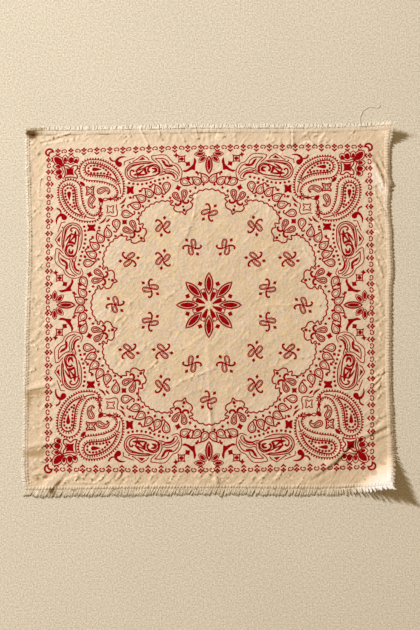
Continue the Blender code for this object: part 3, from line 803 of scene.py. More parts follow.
def small_paisley():
    """The small paisley inside the hook of the large one's tail."""
    shapes = ring(horn(SMALL_PAISLEY), 1.05) + ring(horn(SMALL_PAISLEY, 1.7), 0.9)
    return shapes + dot(-100.9, 114.2, 1.3, 1.2)


def comma_flourish():
    """A ball with a tail that sweeps up, and a finer stroke that crosses it."""
    body = [(-90.0, 144.7, 2.9), (-92.2, 146.4, 2.1), (-92.6, 148.7, 1.5), (-90.6, 151.1, 1.15),
            (-87.0, 152.5, 0.9), (-83.0, 152.2, 0.35)]  # fmt: skip
    stroke = [(-92.6, 148.6), (-96.0, 148.2), (-98.5, 149.8), (-99.6, 152.4)]
    return solid(horn(body)) + line(stroke, (0.8, 1.5, 1.6))


def small_marks():
    """The solid star and the two slashes between the paisleys and the medallion."""
    shapes = solid(pinched_square(4.0, 0.22, notched=(0, 2)) + (-78.8, 117.4))
    shapes += line([(-83.0, 109.6), (-85.6, 105.3), (-89.4, 102.7)], (0.7, 2.0, 0.7))
    shapes += line([(-84.4, 102.4), (-88.0, 98.8)], (1.2, 1.9, 0.8))
    return shapes


def leaf_paisley():
    """The long paisley with a spiral eye, and the leaf that lies against it."""
    shapes = solid(spline(SIDE_LEAF_CORE, closed=True))
    for course, widths in SIDE_LEAF_LINES:
        shapes += line(course, widths)
    stalk = [(-85.2, 143.4), (-84.8, 147.4), (-79.5, 149.4), (-74.6, 151.2)]
    shapes += line(stalk, (0.9, 1.0, 0.7), curved=False)
    bud = [(-75.6, 147.4), (-71.0, 150.6), (-66.6, 153.4), (-64.6, 152.0), (-62.0, 151.0),
           (-59.8, 148.0)]  # fmt: skip
    shapes += line(bud, 0.9) + solid([(-71.2, 148.2), (-66.6, 152.0), (-63.6, 149.0)])
    shapes += dot(-79.5, 146.4, 1.05, 0.95) + dot(-76.0, 147.6, 0.9, 0.8)
    shapes += ring(horn(LEAF_PAISLEY), 1.05) + ring(horn(LEAF_PAISLEY, 2.0), 0.9)
    back = [(-81.6, 137.0), (-78.4, 141.2), (-72.0, 143.9), (-65.0, 145.0), (-58.0, 145.2)]
    shapes += line(back, (0.7, 1.6, 0.9))
    eye = horn(LEAF_PAISLEY_EYE)
    shapes += [(grown(eye, 1.1), BARE)] + ring(eye, 1.2)
    hook = [(-75.2, 136.2), (-76.4, 138.2), (-78.6, 137.2), (-78.8, 133.6), (-75.6, 130.6),
            (-69.6, 129.4)]  # fmt: skip
    shapes += line(hook, (1.7, 1.2, 1.2))
    shapes += line([(-53.8, 132.6), (-50.4, 134.0), (-48.2, 136.4)], (0.8, 2.0, 0.8))
    shapes += line([(-73.6, 136.6), (-69.4, 140.6), (-64.8, 143.4)], (1.4, 1.9, 0.8))
    wedge = [(-76.2, 133.2), (-68.7, 131.9), (-61.4, 133.7), (-62.6, 137.0), (-63.4, 140.4),
             (-69.6, 136.2)]  # fmt: skip
    shapes += solid(spline(wedge, closed=True))
    shapes.append((np.array([(-68.6, 134.1), (-65.5, 137.4), (-63.9, 134.2)]), BARE))
    spiral = [(-51.0, 135.4), (-50.4, 138.7), (-52.9, 141.5), (-57.0, 142.1), (-60.6, 140.2),
              (-61.2, 137.4), (-59.4, 135.6)]  # fmt: skip
    shapes += line(spiral, (0.9, 1.1, 1.4, 2.1))
    heart = [(-57.4, 139.6), (-53.8, 139.2), (-52.9, 137.0), (-56.8, 135.3)]
    return shapes + line(heart, (1.0, 2.3, 2.4, 0.9))


def dotted_row():
    """The row of dots below the leaf paisley."""
    row = [(-82.2, 125.0), (-70.4, 123.2), (-60.0, 124.6), (-50.0, 127.6), (-39.0, 130.2)]
    places = evenly(spline(row), 4.35, closed=False)[0]
    return [shape for x, y in places for shape in dot(x, y, 1.4)]


def side_lotus():
    """The lotus at the middle of a side, with its petals, horns and small squares."""
    half = []
    for x, y, turn, length, width in ((-9.3, 153.8, 2, 7.6, 3.3), (-6.5, 148.6, 44, 7.2, 3.4)):
        half += ring(leaf(x, y, turn, length + 4.0, width + 2.6, 0.8), 0.8)
        half += solid(leaf(x, y, turn, length, width, 0.6))
    horns = [(-14.8, 150.0), (-12.6, 146.6), (-13.6, 142.4), (-14.2, 136.8), (-16.8, 137.6),
             (-20.4, 136.0), (-24.2, 134.9), (-26.6, 136.8), (-22.6, 137.6), (-18.8, 140.6),
             (-15.8, 144.0)]  # fmt: skip
    half += solid(spline(horns, closed=True))
    half += solid(turned(pinched_square(2.3, 0.08), 8) + (-21.2, 143.6))
    half += ring(pinched_square(4.2, 0.22) + (-27.4, 148.9), 1.0) + dot(-27.4, 148.9, 2.1, 2.0)
    half += solid(turned(pinched_square(2.3, 0.3), 40) + (-32.9, 152.8))
    shapes = both_sides(half) + ring(leaf(0, 142.3, 90, 19.6, 7.8, 0.75), 0.95)
    shapes += ring(leaf(0, 142.5, 90, 16.8, 5.5, 0.75), 0.55)
    return four_ways(shapes + solid(leaf(0, 142.6, 90, 12.6, 3.6, 0.65)))


# The medallion's drops in one eighth of it: the angle and distance of each drop's round head from the
# middle, the direction that its tip points in, and the side that its hook bends to.
DROPS = [(91.75, 127.6, 118, 1), (95.2, 125.9, 138, 1), (101.1, 127.6, -30, 1), (109.3, 128.2, -92, -1),
         (113.7, 126.5, 108, 1), (117.7, 127.8, 125, 1), (121.8, 127.2, 146, 1), (125.6, 124.0, 162, 1),
         (131.9, 124.4, -12, 1)]  # fmt: skip
# Where the tulips of one quarter and the diamonds of one eighth are: angle and distance.
TULIPS = [(104.5, 122.8), (135.0, 119.2), (165.5, 122.8)]
INNER_DIAMONDS = [(92.6, 122.2), (96.5, 119.5), (99.2, 116.8), (109.7, 115.4), (112.8, 119.5),
                  (116.2, 121.2), (119.6, 121.6), (123.3, 119.9), (126.9, 116.5),
                  (129.3, 112.5)]  # fmt: skip
OUTER_DIAMONDS = [(95.2, 135.2), (99.3, 131.0), (111.6, 133.0), (116.0, 134.1), (120.7, 135.0),
                  (125.7, 134.8)]  # fmt: skip
# The wavy line round a tulip: how far from its square towards the middle, and how far sideways. Between
# the tulips its waves have a length in degrees, a radius, a swell in the middle and a height.
SWELL = [(10.4, 10.4), (12.2, 8.4), (14.6, 11.8), (17.2, 8.2), (19.8, 9.7), (23.4, 7.6), (25.1, 2.4),
         (28.6, 0.0)]  # fmt: skip
WAVE_LENGTH, WAVE_RADIUS, WAVE_SWELL, WAVE_HEIGHT = 2.9, 108.7, 7.6, 1.4
WAVE_POINTS = 6  # the points of each wave


def medallion_drop(hook):
    """An outlined drop whose tip points along x and ends in a small hook; its head is at the origin."""
    body = [(0.0, 0, 4.6), (2.5, 0.0, 4.0), (4.9, 0.2 * hook, 2.6), (7.2, 0.7 * hook, 1.0)]
    inner = [(-0.2, 0, 2.4), (1.8, 0.1 * hook, 1.8), (4.0, 0.3 * hook, 0.7)]
    tip = [(6.6, 0.6 * hook), (8.3, 1.3 * hook), (8.7, 3.0 * hook), (7.8, 4.0 * hook)]
    shapes = ring(horn(body), 1.25) + ring(horn(inner), 0.6)
    return shapes + line(tip, (1.2, 1.2, 1.3)) + dot(7.7, 3.9 * hook, 1.0)


def tulip():
    """Twin loops, two curls and a dotted tip, along x from the square at the origin."""
    shapes = []
    loop = [(6.4, 4.7, 3.5), (9.0, 3.9, 3.1), (11.8, 2.4, 2.1), (14.2, 0.9, 1.0)]
    curl = [(13.2, 0.4), (16.2, 1.8), (17.4, 4.4), (16.0, 6.8), (14.4, 6.2)]
    for side in (-1, 1):
        sided = np.array(loop) * (1, side, 1)
        shapes += ring(horn(sided), 1.1) + ring(horn(sided, 1.65), 0.95)
    for side in (-1, 1):
        shapes += line(np.array(curl) * (1, side), (1.4, 2.0, 1.9, 1.7))
    shapes += dot(20.0, 0, 1.3) + dot(23.8, 0, 1.8, 1.6)
    return shapes + solid(turned(pinched_square(2.5, 0.12), 45))


def swell(angle, distance, side):
    """The wavy line's points on one side of a tulip, from its square to its tip."""
    origin = np.array(polar(angle, distance))
    ahead, aside = np.array(polar(angle + 180, 1.0)), np.array(polar(angle + 90, 1.0))
    return [origin + ahead * s + aside * (t * side) for s, t in SWELL]


def scalloped_line():
    """The wavy line round the medallion's middle, which swells out round each tulip."""
    tulips = [(start + turn, distance) for turn in (0, 90, 180, 270) for start, distance in TULIPS]
    course = []
    for here, after in zip(tulips, tulips[1:] + tulips[:1]):
        leaving, arriving = swell(*here, 1)[::-1], swell(*after, -1)
        first, last = (math.degrees(math.atan2(p[1], p[0])) % 360 for p in (leaving[-1], arriving[0]))
        last += 360 if last < first else 0
        steps = WAVE_POINTS * round((last - first) / WAVE_LENGTH)
        course += leaving
        for k in range(1, steps):
            share = k / steps
            rise = math.sin(math.pi * share) ** 0.55
            arch = abs(math.sin(math.pi * k / WAVE_POINTS))
            distance = WAVE_RADIUS + WAVE_SWELL * rise + WAVE_HEIGHT * arch
            course.append(polar(first + (last - first) * share, distance))
        course += arriving[:-1]
    points = spline(course, closed=True, step=1.0)
    return [(grown(points, 0.7), INK), (grown(points, -0.7), BARE)]


def sprig():
    """Two drops laid head to tail, each with a curl, and a diamond at either end."""
    body = [(4.9, 3.1, 2.9), (3.6, 1.3, 3.0), (2.5, -0.1, 2.7), (1.6, -1.3, 2.2), (0.8, -2.3, 1.4),
            (0.5, -2.7, 0.5)]  # fmt: skip
    core = [(4.8, 3.0, 1.5), (3.7, 1.5, 1.5), (2.6, 0.0, 1.3), (1.9, -0.9, 0.8)]
    curl = [(0.9, -2.4), (2.0, -4.6), (4.2, -6.4), (6.4, -6.5), (7.2, -5.4)]
    half = ring(horn(body), 1.05) + ring(horn(core), 0.6) + line(curl, (1.8, 1.6, 1.6, 1.7))
    half += dot(6.9, -5.2, 1.0) + solid(turned(diamond(4.8, 3.7), 80) + (1.6, 8.8))
    return half + [(-points, ink) for points, ink in half]


def medallion():
    """The ring of drops, the tulips, the wavy line, the sprigs and the flower in the middle."""
    eighth = []
    for angle, distance, tip, hook in DROPS:
        eighth += moved(medallion_drop(hook), *polar(angle, distance), turn=tip)
    for angle, distance in INNER_DIAMONDS:
        eighth += moved(solid(diamond(3.9, 3.2)), *polar(angle, distance), turn=angle)
    for angle, distance in OUTER_DIAMONDS:
        eighth += moved(solid(diamond(4.4, 3.5)), *polar(angle, distance), turn=angle + 30)
    shapes = scalloped_line() + eight_ways(eighth)
    for angle, distance in TULIPS:
        shapes += four_ways(moved(tulip(), *polar(angle, distance), turn=angle + 180))
    shapes += four_ways(moved(sprig(), 0.4, 93.3, turn=-31))
    shapes += eight_ways(moved(sprig(), -45.9, 79.4))
    shapes += four_ways(moved(sprig(), -45.8, 45.8))
    shapes += eight_ways(moved(sprig(), -16.7, 58.2, turn=48))
    return shapes + flower()


def flower():
    """The flower in the middle: eight long petals, small leaves between their roots, and diamonds."""
    shapes = []
    small = ring(horn([(15.2, 0, 2.4), (10.0, 0, 2.2), (4.6, 0, 0.8)]), 0.8)
    small += solid(horn([(12.2, 0, 2.0), (8.6, 0, 1.7), (4.0, 0, 0.5)]))
    small += dot(16.4, 1.9, 1.1, 0.8) + dot(16.4, -1.9, 1.1, 0.8)
    petal = ring(leaf(21.4, 0, 0, 23.4, 9.1, 0.92), 1.3) + solid(leaf(21.2, 0, 0, 15.4, 5.0, 0.75))
    turns = [45 * k for k in range(8)]
    for turn in turns:
        shapes += moved(small, turn=turn + 22.5)
        shapes += moved(solid(diamond(5.6, 5.6)), *polar(turn + 22.5, 22.9), turn=turn + 22.5)
    for turn in turns:
        shapes += moved(petal, turn=turn)
    return shapes


def whole_print():
    """Every shape of the print, in the order that they are laid down, in grid steps."""
    corner = toothed_paisley() + small_paisley() + comma_flourish() + small_marks()
    corner += leaf_paisley() + dotted_row()
    shapes = border() + eight_ways(corner)
    shapes += four_ways(corner_fan() + corner_squares())
    return shapes + side_lotus() + medallion()


# ---------------------------------------------------------------- stains, tone and painted light

# Stains, tone and painted light and shade, multiplied into the cloth's colour: the middle (x, y), the
# half sizes along and across, the turn in degrees, how strong, and the colour that the full mark has.
# Most rows are real stains; the rows marked below are painted shade, painted shadow and painted
# highlights.
BROWN = (0.68, 0.59, 0.45)
STAINS_AND_PAINTED_LIGHT = [
    (-262.0, -133.0, 18.0, 4.4, 4, 1.25, BROWN),
    (-271.0, -144.0, 5.0, 13.0, 0, 0.80, BROWN),
    (-262.0, -223.0, 18.0, 5.4, 6, 1.35, BROWN),
    (-256.0, 227.6, 2.4, 1.2, 40, 1.8, (0.35, 0.27, 0.20)),
    (133.0, 31.7, 2.6, 2.0, 0, 0.5, BROWN),
    # painted shadow at the upper left corner, under its curled hem, and painted shade on the hem over it
    (-267.0, 259.0, 8.8, 2.5, 0, 2.8, (0.30, 0.19, 0.08)),
    (-267.5, 254.8, 4.8, 2.8, -10, 2.4, (0.34, 0.23, 0.11)),
    (-262.0, 255.4, 6.0, 2.6, 20, 1.4, (0.60, 0.48, 0.32)),
    (-258.0, 266.0, 17.0, 3.8, 0, 1.1, (0.66, 0.60, 0.44)),
    # painted highlight on the lifted lower right corner, which faces the lamp
    (263.5, -275.5, 36.0, 15.5, 37, 2.4, (1.07, 1.18, 1.40)),
    (262.0, -258.0, 24.0, 24.0, 0, 0.4, (1.08, 1.16, 1.30)),
    # painted shade in the valley across the lower left corner
    (-229.5, -273.5, 9.0, 1.7, 42, 1.1, (0.44, 0.34, 0.22)),
    (-236.3, -281.5, 4.4, 4.6, 0, 1.6, (0.38, 0.28, 0.16)),
    (-258.0, -262.2, 2.9, 2.0, 50, 1.8, (0.45, 0.34, 0.23)),
    (-247.0, -259.0, 4.2, 2.0, 35, 1.8, (0.45, 0.34, 0.23)),
    # painted highlight on the lit upper left flank of the ridge there
    (-240.0, -268.0, 19.0, 6.0, 40, 1.1, (1.07, 1.11, 1.20)),
    (-252.0, -270.0, 22.0, 12.0, 10, 0.30, (0.93, 0.87, 0.76)),
    (14.0, -275.0, 8.0, 12.0, 0, 0.35, BROWN),
    # the right margin's creases near the top: painted highlights on their lit flanks, then painted shade
    # in their troughs
    (255.5, 187.0, 19.0, 6.0, -62, 1.6, (1.20, 1.30, 1.50)),
    (260.0, 180.0, 7.0, 4.5, -62, 1.0, (1.06, 1.10, 1.16)),
    (258.3, 203.5, 23.0, 1.5, -63, 1.3, (0.62, 0.50, 0.38)),
    (262.8, 216.0, 14.0, 1.2, -65, 0.8, (0.66, 0.56, 0.44)),
    # painted shade on the right hem's outer slope, which faces away from the lamp, and under the bulge
    # in it
    (275.0, 205.0, 4.0, 60.0, 0, 0.75, (0.78, 0.72, 0.62)),
    (274.0, 176.0, 5.0, 5.0, 0, 0.8, (0.74, 0.66, 0.54)),
    # painted shade along the deep fold across the lower right corner
    (194.0, -238.0, 44.0, 3.6, 39, 0.40, BROWN),
    (196.5, -235.5, 6.2, 3.4, 45, 1.4, (0.58, 0.48, 0.34)),
    (248.0, -198.0, 22.0, 4.0, 34, 0.55, BROWN),
]
# Stains and painted marks of less than a half size across have ragged edges, and this is how ragged they
# are.
RAGGED_BELOW, RAGGED = 8.0, 0.5


def fading(value, start, end):
    """1 up to the start of a range, falling evenly to 0 at its end."""
    return np.clip((end - value) / (end - start), 0, 1)


def stain_and_light_colours(x, y):
    """The colour that the cloth's own is multiplied by at each point, with its stains and its painted
    light and shade, and how mottled it is there.
    """
    colour = np.ones((len(x), 4))
    for cx, cy, along_it, across_it, turn, strength, full in STAINS_AND_PAINTED_LIGHT:
        a, b = along_and_across(x - cx, y - cy, turn)
        off = (a / along_it) ** 2 + (b / across_it) ** 2
        ragged = 1.0 + (RAGGED * noise(x, y, 4.0, 21) if across_it < RAGGED_BELOW else 0.0)
        share = np.clip(strength * np.exp(-off * ragged), 0, 1)[:, None]
        colour[:, :3] *= 1 - share * (1 - np.array(full))
    from_middle, from_axes = np.hypot(x, y), np.maximum(abs(x), abs(y))
    # darker and browner towards the lower right
    towards_lower_right = np.clip(0.5 + (0.75 * x - 0.95 * y) / 600.0, 0, 1.1)  # more towards the lower right
    mottled = np.maximum(fading(from_middle, 145.0, 185.0), 0.25)  # most in the medallion
    among_motifs = fading(from_axes, 244.0, 252.0) * (1 - fading(from_middle, 140.0, 170.0))
    for share, tint in (
        (towards_lower_right, (-0.09, -0.115, -0.15)),
        (0.5 + 0.5 * noise(x, y, 26.0, 8), (-0.036, -0.045, -0.054)),
        (noise(x, y, 7.0, 9) * mottled, (0.015, 0.0, -0.09)),
        (noise(x, y, 6.0, 10) * mottled, (-0.025, -0.025, -0.02)),
        (among_motifs, (0.05, 0.07, 0.12)),
        (fading(from_middle, 135.0, 165.0), (0.012, 0.018, 0.03)),
    ):
        colour[:, :3] *= 1 + share[:, None] * np.array(tint)
    colour[:, 3] = mottled
    return colour


# ---------------------------------------------------------------- meshes and materials


def add_object(name, data):
    """A new object in the scene."""
    made = bpy.data.objects.new(name, data)
    bpy.context.scene.collection.objects.link(made)
    return made


def add_mesh(name, points, faces, materials, slots=None, facing=None, shade=1.0):
    """A mesh object from points in millimetres, with its stains and painted light and shade as colours,
    its material slots and point normals.
    """
    points = np.asarray(points)
    mesh = bpy.data.meshes.new(name)
    mesh.from_pydata((points * MM).tolist(), [], [list(map(int, face)) for face in faces])
    for material in materials:
        mesh.materials.append(material)
    if slots is not None:
        mesh.polygons.foreach_set("material_index", np.asarray(slots, np.int32))
    mesh.shade_smooth()
    if facing is not None:
        mesh.normals_split_custom_set_from_vertices(facing.tolist())
    mesh.update()
    colours = stain_and_light_colours(points[:, 0], points[:, 1])
    colours[:, :3] *= shade
    stain_and_light = mesh.color_attributes.new("stain_and_light", "FLOAT_COLOR", "POINT")
    stain_and_light.data.foreach_set("color", colours.astype(np.float32).ravel())
    made = add_object(name, mesh)
    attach(made, "root")
    return made


class Nodes:
    """A material's node tree, written as short calls. An input is given a value, or a socket to link."""

    def __init__(self, name, **values):
        self.material = bpy.data.materials.new(name)
        self.material.use_nodes = True
        self.tree = self.material.node_tree
        self.shader = self.tree.nodes["Principled BSDF"]
        self.fill(self.shader, **values)

    def feed(self, socket, value):
        if isinstance(value, bpy.types.NodeSocket):
            self.tree.links.new(value, socket)
        elif socket.type == "RGBA":
            socket.default_value = (*value, 1.0)
        else:
            socket.default_value = value

    def fill(self, node, **values):
        for key, value in values.items():
            if hasattr(node, key):
                setattr(node, key, value)
            else:
                self.feed(node.inputs[key.replace("_", " ")], value)
        return node

    def add(self, kind, **values):
        return self.fill(self.tree.nodes.new(kind), **values)

    def place(self, scale=(1, 1, 1), turn=0.0):
        """Where the surface is, in metres, drawn out by a scale along directions turned about z."""
        where = self.add("ShaderNodeTexCoord").outputs["Object"]
        mapping = self.add("ShaderNodeMapping", vector_type="TEXTURE", Vector=where)
        self.fill(mapping, Scale=scale, Rotation=(0, 0, math.radians(turn)))
        return mapping.outputs["Vector"]

    def noise(self, scale, detail=2.0, stretch=(1, 1, 1), turn=0.0, rough=0.5, kind="FBM"):
        made = self.add("ShaderNodeTexNoise", noise_type=kind, Vector=self.place(stretch, turn))
        return self.fill(made, Scale=scale, Detail=detail, Roughness=rough).outputs["Fac"]

    def ramp(self, value, stops):
        made = self.add("ShaderNodeValToRGB", Fac=value)
        elements = made.color_ramp.elements
        while len(elements) < len(stops):
            elements.new(0.5)
        for element, (at, colour) in zip(elements, stops):
            element.position = at
            element.color = (*colour, 1.0)
        return made.outputs["Color"]

    def mix(self, share, first, second, blend="MIX"):
        made = self.add("ShaderNodeMix", data_type="RGBA", blend_type=blend)
        factor, first_colour, second_colour = (made.inputs[k] for k in (0, 6, 7))
        self.feed(factor, share)
        self.feed(first_colour, first)
        self.feed(second_colour, second)
        return made.outputs[2]

    def add_up(self, terms):
        """The sum of some (value, factor) pairs."""
        total = 0.0
        for value, factor in terms:
            made = self.add("ShaderNodeMath", operation="MULTIPLY_ADD")
            for socket, given in zip(made.inputs, (value, factor, total)):
                self.feed(socket, given)
            total = made.outputs[0]
        return total

    def threads(self, direction):
        """The weave's threads in one direction, from 0 between them to 1 on top."""
        made = self.add("ShaderNodeTexWave", wave_type="BANDS", bands_direction=direction)
        self.fill(made, Vector=self.place(), Scale=BAND_PITCH / THREAD_PITCH)
        return self.fill(made, Distortion=1.2, Detail=1.0, Detail_Scale=0.6).outputs["Fac"]

    def bump(self, height, distance):
        made = self.add("ShaderNodeBump", Strength=1.0, Distance=distance, Height=height)
        self.fill(self.shader, Normal=made.outputs["Normal"])


def linear(red, green, blue):
    """A colour given as a screen shows it, from 0 to 255, as the light values that a shader takes."""
    return tuple(((c / 255 + 0.055) / 1.055) ** 2.4 for c in (red, green, blue))


def grey(value):
    return (value, value, value)


THREAD_PITCH = 0.00055  # the weave's threads, in metres
BAND_PITCH = 0.314159  # the bands of a wave texture at a scale of 1, in metres
STREAK = 12.0  # how much longer than wide the streaks along the threads are


def cotton(name, tones, roughness=0.85, crumple=0.0005, wrinkles=0.0, sheen=0.12, shine=0.2):
    """Plain-woven cotton: mottled, streaked along its threads, with the stains and the painted light and
    shade that the mesh carries.
    """
    nodes = Nodes(name, Roughness=roughness, Specular_IOR_Level=shine)
    nodes.fill(nodes.shader, Sheen_Weight=sheen, Sheen_Roughness=0.5)
    stain_and_light = nodes.add("ShaderNodeAttribute", attribute_name="stain_and_light").outputs
    mottle = nodes.ramp(nodes.noise(300, 3.0, rough=0.65), list(zip((0.34, 0.5, 0.66), tones)))
    pink_to_green = [(0.34, (1.0, 0.93, 0.94)), (0.66, (0.95, 1.0, 0.94))]
    blush = nodes.ramp(nodes.noise(380, 1.0, turn=30.0), pink_to_green)
    colour = nodes.mix(stain_and_light["Alpha"], tones[1], nodes.mix(1.0, mottle, blush, "MULTIPLY"))
    streaks = [(nodes.noise(1100, 1.0, stretch), 0.5) for stretch in ((1, STREAK, 1), (STREAK, 1, 1))]
    streaks = nodes.ramp(nodes.add_up(streaks), [(0.32, grey(0.82)), (0.68, grey(1.0))])
    colour = nodes.mix(1.0, colour, streaks, "MULTIPLY")
    colour = nodes.mix(1.0, colour, stain_and_light["Color"], "MULTIPLY")
    nodes.fill(nodes.shader, Base_Color=colour)
    terms = [(nodes.threads("X"), 0.06), (nodes.threads("Y"), 0.06), (nodes.noise(260, rough=0.6), 1.0)]
    if wrinkles:
        for scale, longer, turn, factor in ((190, 3.0, 50, 1.0), (130, 2.4, 95, 0.7)):
            ridges = nodes.noise(scale, 2.0, (longer, 1, 1), turn, 0.6, "RIDGED_MULTIFRACTAL")
            terms.append((ridges, factor * wrinkles))
    nodes.bump(nodes.add_up(terms), crumple)
    return nodes.material


GROUND_TONES = [linear(228, 209, 193), linear(240, 219, 191), linear(250, 226, 179)]
INK_TONES = [linear(140, 0, 4), linear(160, 0, 12), linear(184, 6, 28)]
HEM_TONES = [linear(228, 210, 184), linear(236, 220, 196), linear(240, 226, 206)]
THREAD_TONES = [linear(240, 226, 204), linear(248, 238, 220), linear(252, 246, 234)]
BACK_TONES = [linear(214, 180, 150), linear(222, 192, 162), linear(228, 200, 172)]

ground = cotton("printed_ground", GROUND_TONES, wrinkles=0.8)
ink = cotton("printed_ink", INK_TONES, wrinkles=0.8, sheen=0.0, shine=0.04)
back = cotton("cloth_back", BACK_TONES)
hem_cotton = cotton("hem_cotton", HEM_TONES, crumple=0.0003)
frayed = cotton("frayed_thread", THREAD_TONES, roughness=0.9, crumple=0.0001)


# ---------------------------------------------------------------- the printed cloth

RIM_PITCH = 2.4  # how far apart the points are along the cloth's edge and along a crease
UNDER_GRID = 12.0  # the mesh size of the cloth's underside
CLEARANCE = 0.95  # how far a free point stays at least from every other point
NARROW_CREASE = 4.5  # a crease of up to this half width has rows of points of its own
# the narrow rows of the stain table, painted shade among them, each get a grid of their own
NARROW_MARK = 4.0  # and a stain below this half size across has a grid of its own
BACK_SLOT = 2  # the underside's material, after the bare cloth's and the ink's


def inside(points, outline):
    """Which of the points lie inside a closed outline."""
    x, y = points[:, :1], points[:, 1:]
    x0, y0 = outline[:, 0], outline[:, 1]
    x1, y1 = np.roll(x0, -1), np.roll(y0, -1)
    crosses = (y0 > y) != (y1 > y)
    with np.errstate(divide="ignore", invalid="ignore"):
        at = (x1 - x0) * (y - y0) / (y1 - y0) + x0
    return np.sum(crosses & (x < at), axis=1) % 2 == 1


def inked(centres, shapes):
    """Which of the places on the cloth carry ink, with later shapes laid over earlier ones."""
    cell = 5.0
    low = centres.min(axis=0)
    index = np.floor((centres - low) / cell).astype(int)
    wide, high = index.max(axis=0) + 1
    key = index[:, 1] * wide + index[:, 0]
    order = np.argsort(key, kind="stable")
    starts = np.searchsorted(key[order], np.arange(wide * high + 1))
    colour = np.zeros(len(centres), bool)
    for outline, is_ink in shapes:
        box = np.stack([outline.min(axis=0), outline.max(axis=0)])
        cells = np.clip(np.floor((box - low) / cell).astype(int), 0, [wide - 1, high - 1])
        (i0, j0), (i1, j1) = cells
        found = [order[starts[j * wide + i0] : starts[j * wide + i1 + 1]] for j in range(j0, j1 + 1)]
        found = np.concatenate(found)
        found = found[np.all((centres[found] >= box[0]) & (centres[found] <= box[1]), axis=1)]
        if len(found):
            colour[found[inside(centres[found], outline)]] = is_ink
    return colour


def rim_points():
    """The cloth's edge, all the way round and just under its hems, in table millimetres."""
    us = np.linspace(LEFT - SEAM, RIGHT + SEAM, round((RIGHT - LEFT) / RIM_PITCH))
    vs = np.linspace(BOTTOM - SEAM, TOP + SEAM, round((TOP - BOTTOM) / RIM_PITCH))
    u = np.concatenate([us, np.full(len(vs) - 1, us[-1]), us[-2::-1], np.full(len(vs) - 2, us[0])])
    v = np.concatenate([np.full(len(us), vs[0]), vs[1:], np.full(len(us) - 1, vs[-1]), vs[-2:0:-1]])
    return np.stack(plan(u, v), axis=1)


def lattice(us, vs, shift=0.0):
    """The points on the table of every place (u, v), with every other row of them shifted along u."""
    u, v = np.meshgrid(us, vs)
    u = u + (np.arange(len(vs)) % 2)[:, None] * shift
    return np.stack(plan(u.ravel(), v.ravel()), axis=1)


def crease_points():
    """Rows of points along the narrow creases, on their crests and both flanks."""
    rows = []
    for x0, y0, x1, y1, half_width, _ in ALL_CREASES:
        if half_width > NARROW_CREASE:
            continue
        length = math.hypot(x1 - x0, y1 - y0)
        over = 0.5 * half_width / length
        shares = np.linspace(-over, 1 + over, max(2, round(length / RIM_PITCH)))
        nx, ny = -(y1 - y0) / length, (x1 - x0) / length
        for off in (-1.0, -0.5, 0.0, 0.4, 0.8):
            px = x0 + (x1 - x0) * shares + nx * off * half_width
            py = y0 + (y1 - y0) * shares + ny * off * half_width
            rows.append(np.stack([px, py], axis=1))
    return rows


def stain_points():
    """A fine grid of points over each of the narrow stains and painted marks of light and shade."""
    grids = []
    for cx, cy, along_it, across_it, turn, _, _ in STAINS_AND_PAINTED_LIGHT:
        if across_it < NARROW_MARK:
            spans = [np.arange(-1.8 * half, 1.8 * half, 1.1) for half in (along_it, across_it)]
            spots = np.stack([side.ravel() for side in np.meshgrid(*spans)], axis=1)
            grids.append(turned(spots, turn) + (cx, cy))
    return grids


def free_points(taken, rim):
    """Points over the cloth, clear of those taken: finer at creases, at stains and painted marks, and
    beside the hems.
    """
    candidates = [*crease_points(), *stain_points()]
    candidates.append(lattice(np.arange(RIGHT - 8.0, RIGHT, 1.5), np.arange(BOTTOM, TOP, 1.1)))
    candidates.append(lattice(np.arange(LEFT + 1.0, LEFT + 5.0, 1.5), np.arange(BOTTOM, TOP, 1.3)))
    candidates.append(lattice(np.arange(LEFT, RIGHT, 1.3), np.arange(BOTTOM + 1.0, BOTTOM + 7.0, 1.5)))
    us, vs = np.arange(LEFT + 2.2, RIGHT - 2.0, GRID), np.arange(BOTTOM + 2.2, TOP - 2.0, GRID * 0.866)
    candidates.append(lattice(us, vs, GRID / 2))
    candidates = np.vstack(candidates)
    seen = set(map(tuple, np.floor(np.vstack([taken, rim]) / CLEARANCE).astype(int)))
    keep = []
    for point in candidates[inside(candidates, grown(rim, -1.6))]:
        a, b = (math.floor(value / CLEARANCE) for value in point)
        if all((a + k, b + m) not in seen for k in (-1, 0, 1) for m in (-1, 0, 1)):
            seen.add((a, b))
            keep.append(point)
    return np.array(keep)


def add_uv(mesh, points, top_count):
    """A flat map for baking: the printed face in one square, the underside squeezed in beside it."""
    low, high = points[:, :2].min(axis=0), points[:, :2].max(axis=0)
    place = (points[:, :2] - low) / (high - low)
    spots = place * 0.88 + 0.004
    spots[top_count:] = place[top_count:] * (0.1, 0.98) + (0.895, 0.01)
    corner_points = np.empty(len(mesh.loops), np.int32)
    mesh.loops.foreach_get("vertex_index", corner_points)
    made = mesh.uv_layers.new(name="OFBake")
    made.data.foreach_set("uv", spots[corner_points].astype(np.float32).ravel())


def triangulated(points, edges, rim):
    """Triangles over points of the plane that keep the edges given and fill a rim, a range of points.

    Returns the points, the triangles, and where the rim's points are among the points.
    """
    vectors = [Vector(point) for point in points]
    found, _, triangles, sources, *_ = delaunay_2d_cdt(vectors, edges, [list(rim)], 1, 1e-4)
    made_of = {source: made for made, several in enumerate(sources) for source in several}
    return np.array([tuple(p) for p in found]), triangles, [made_of[source] for source in rim]


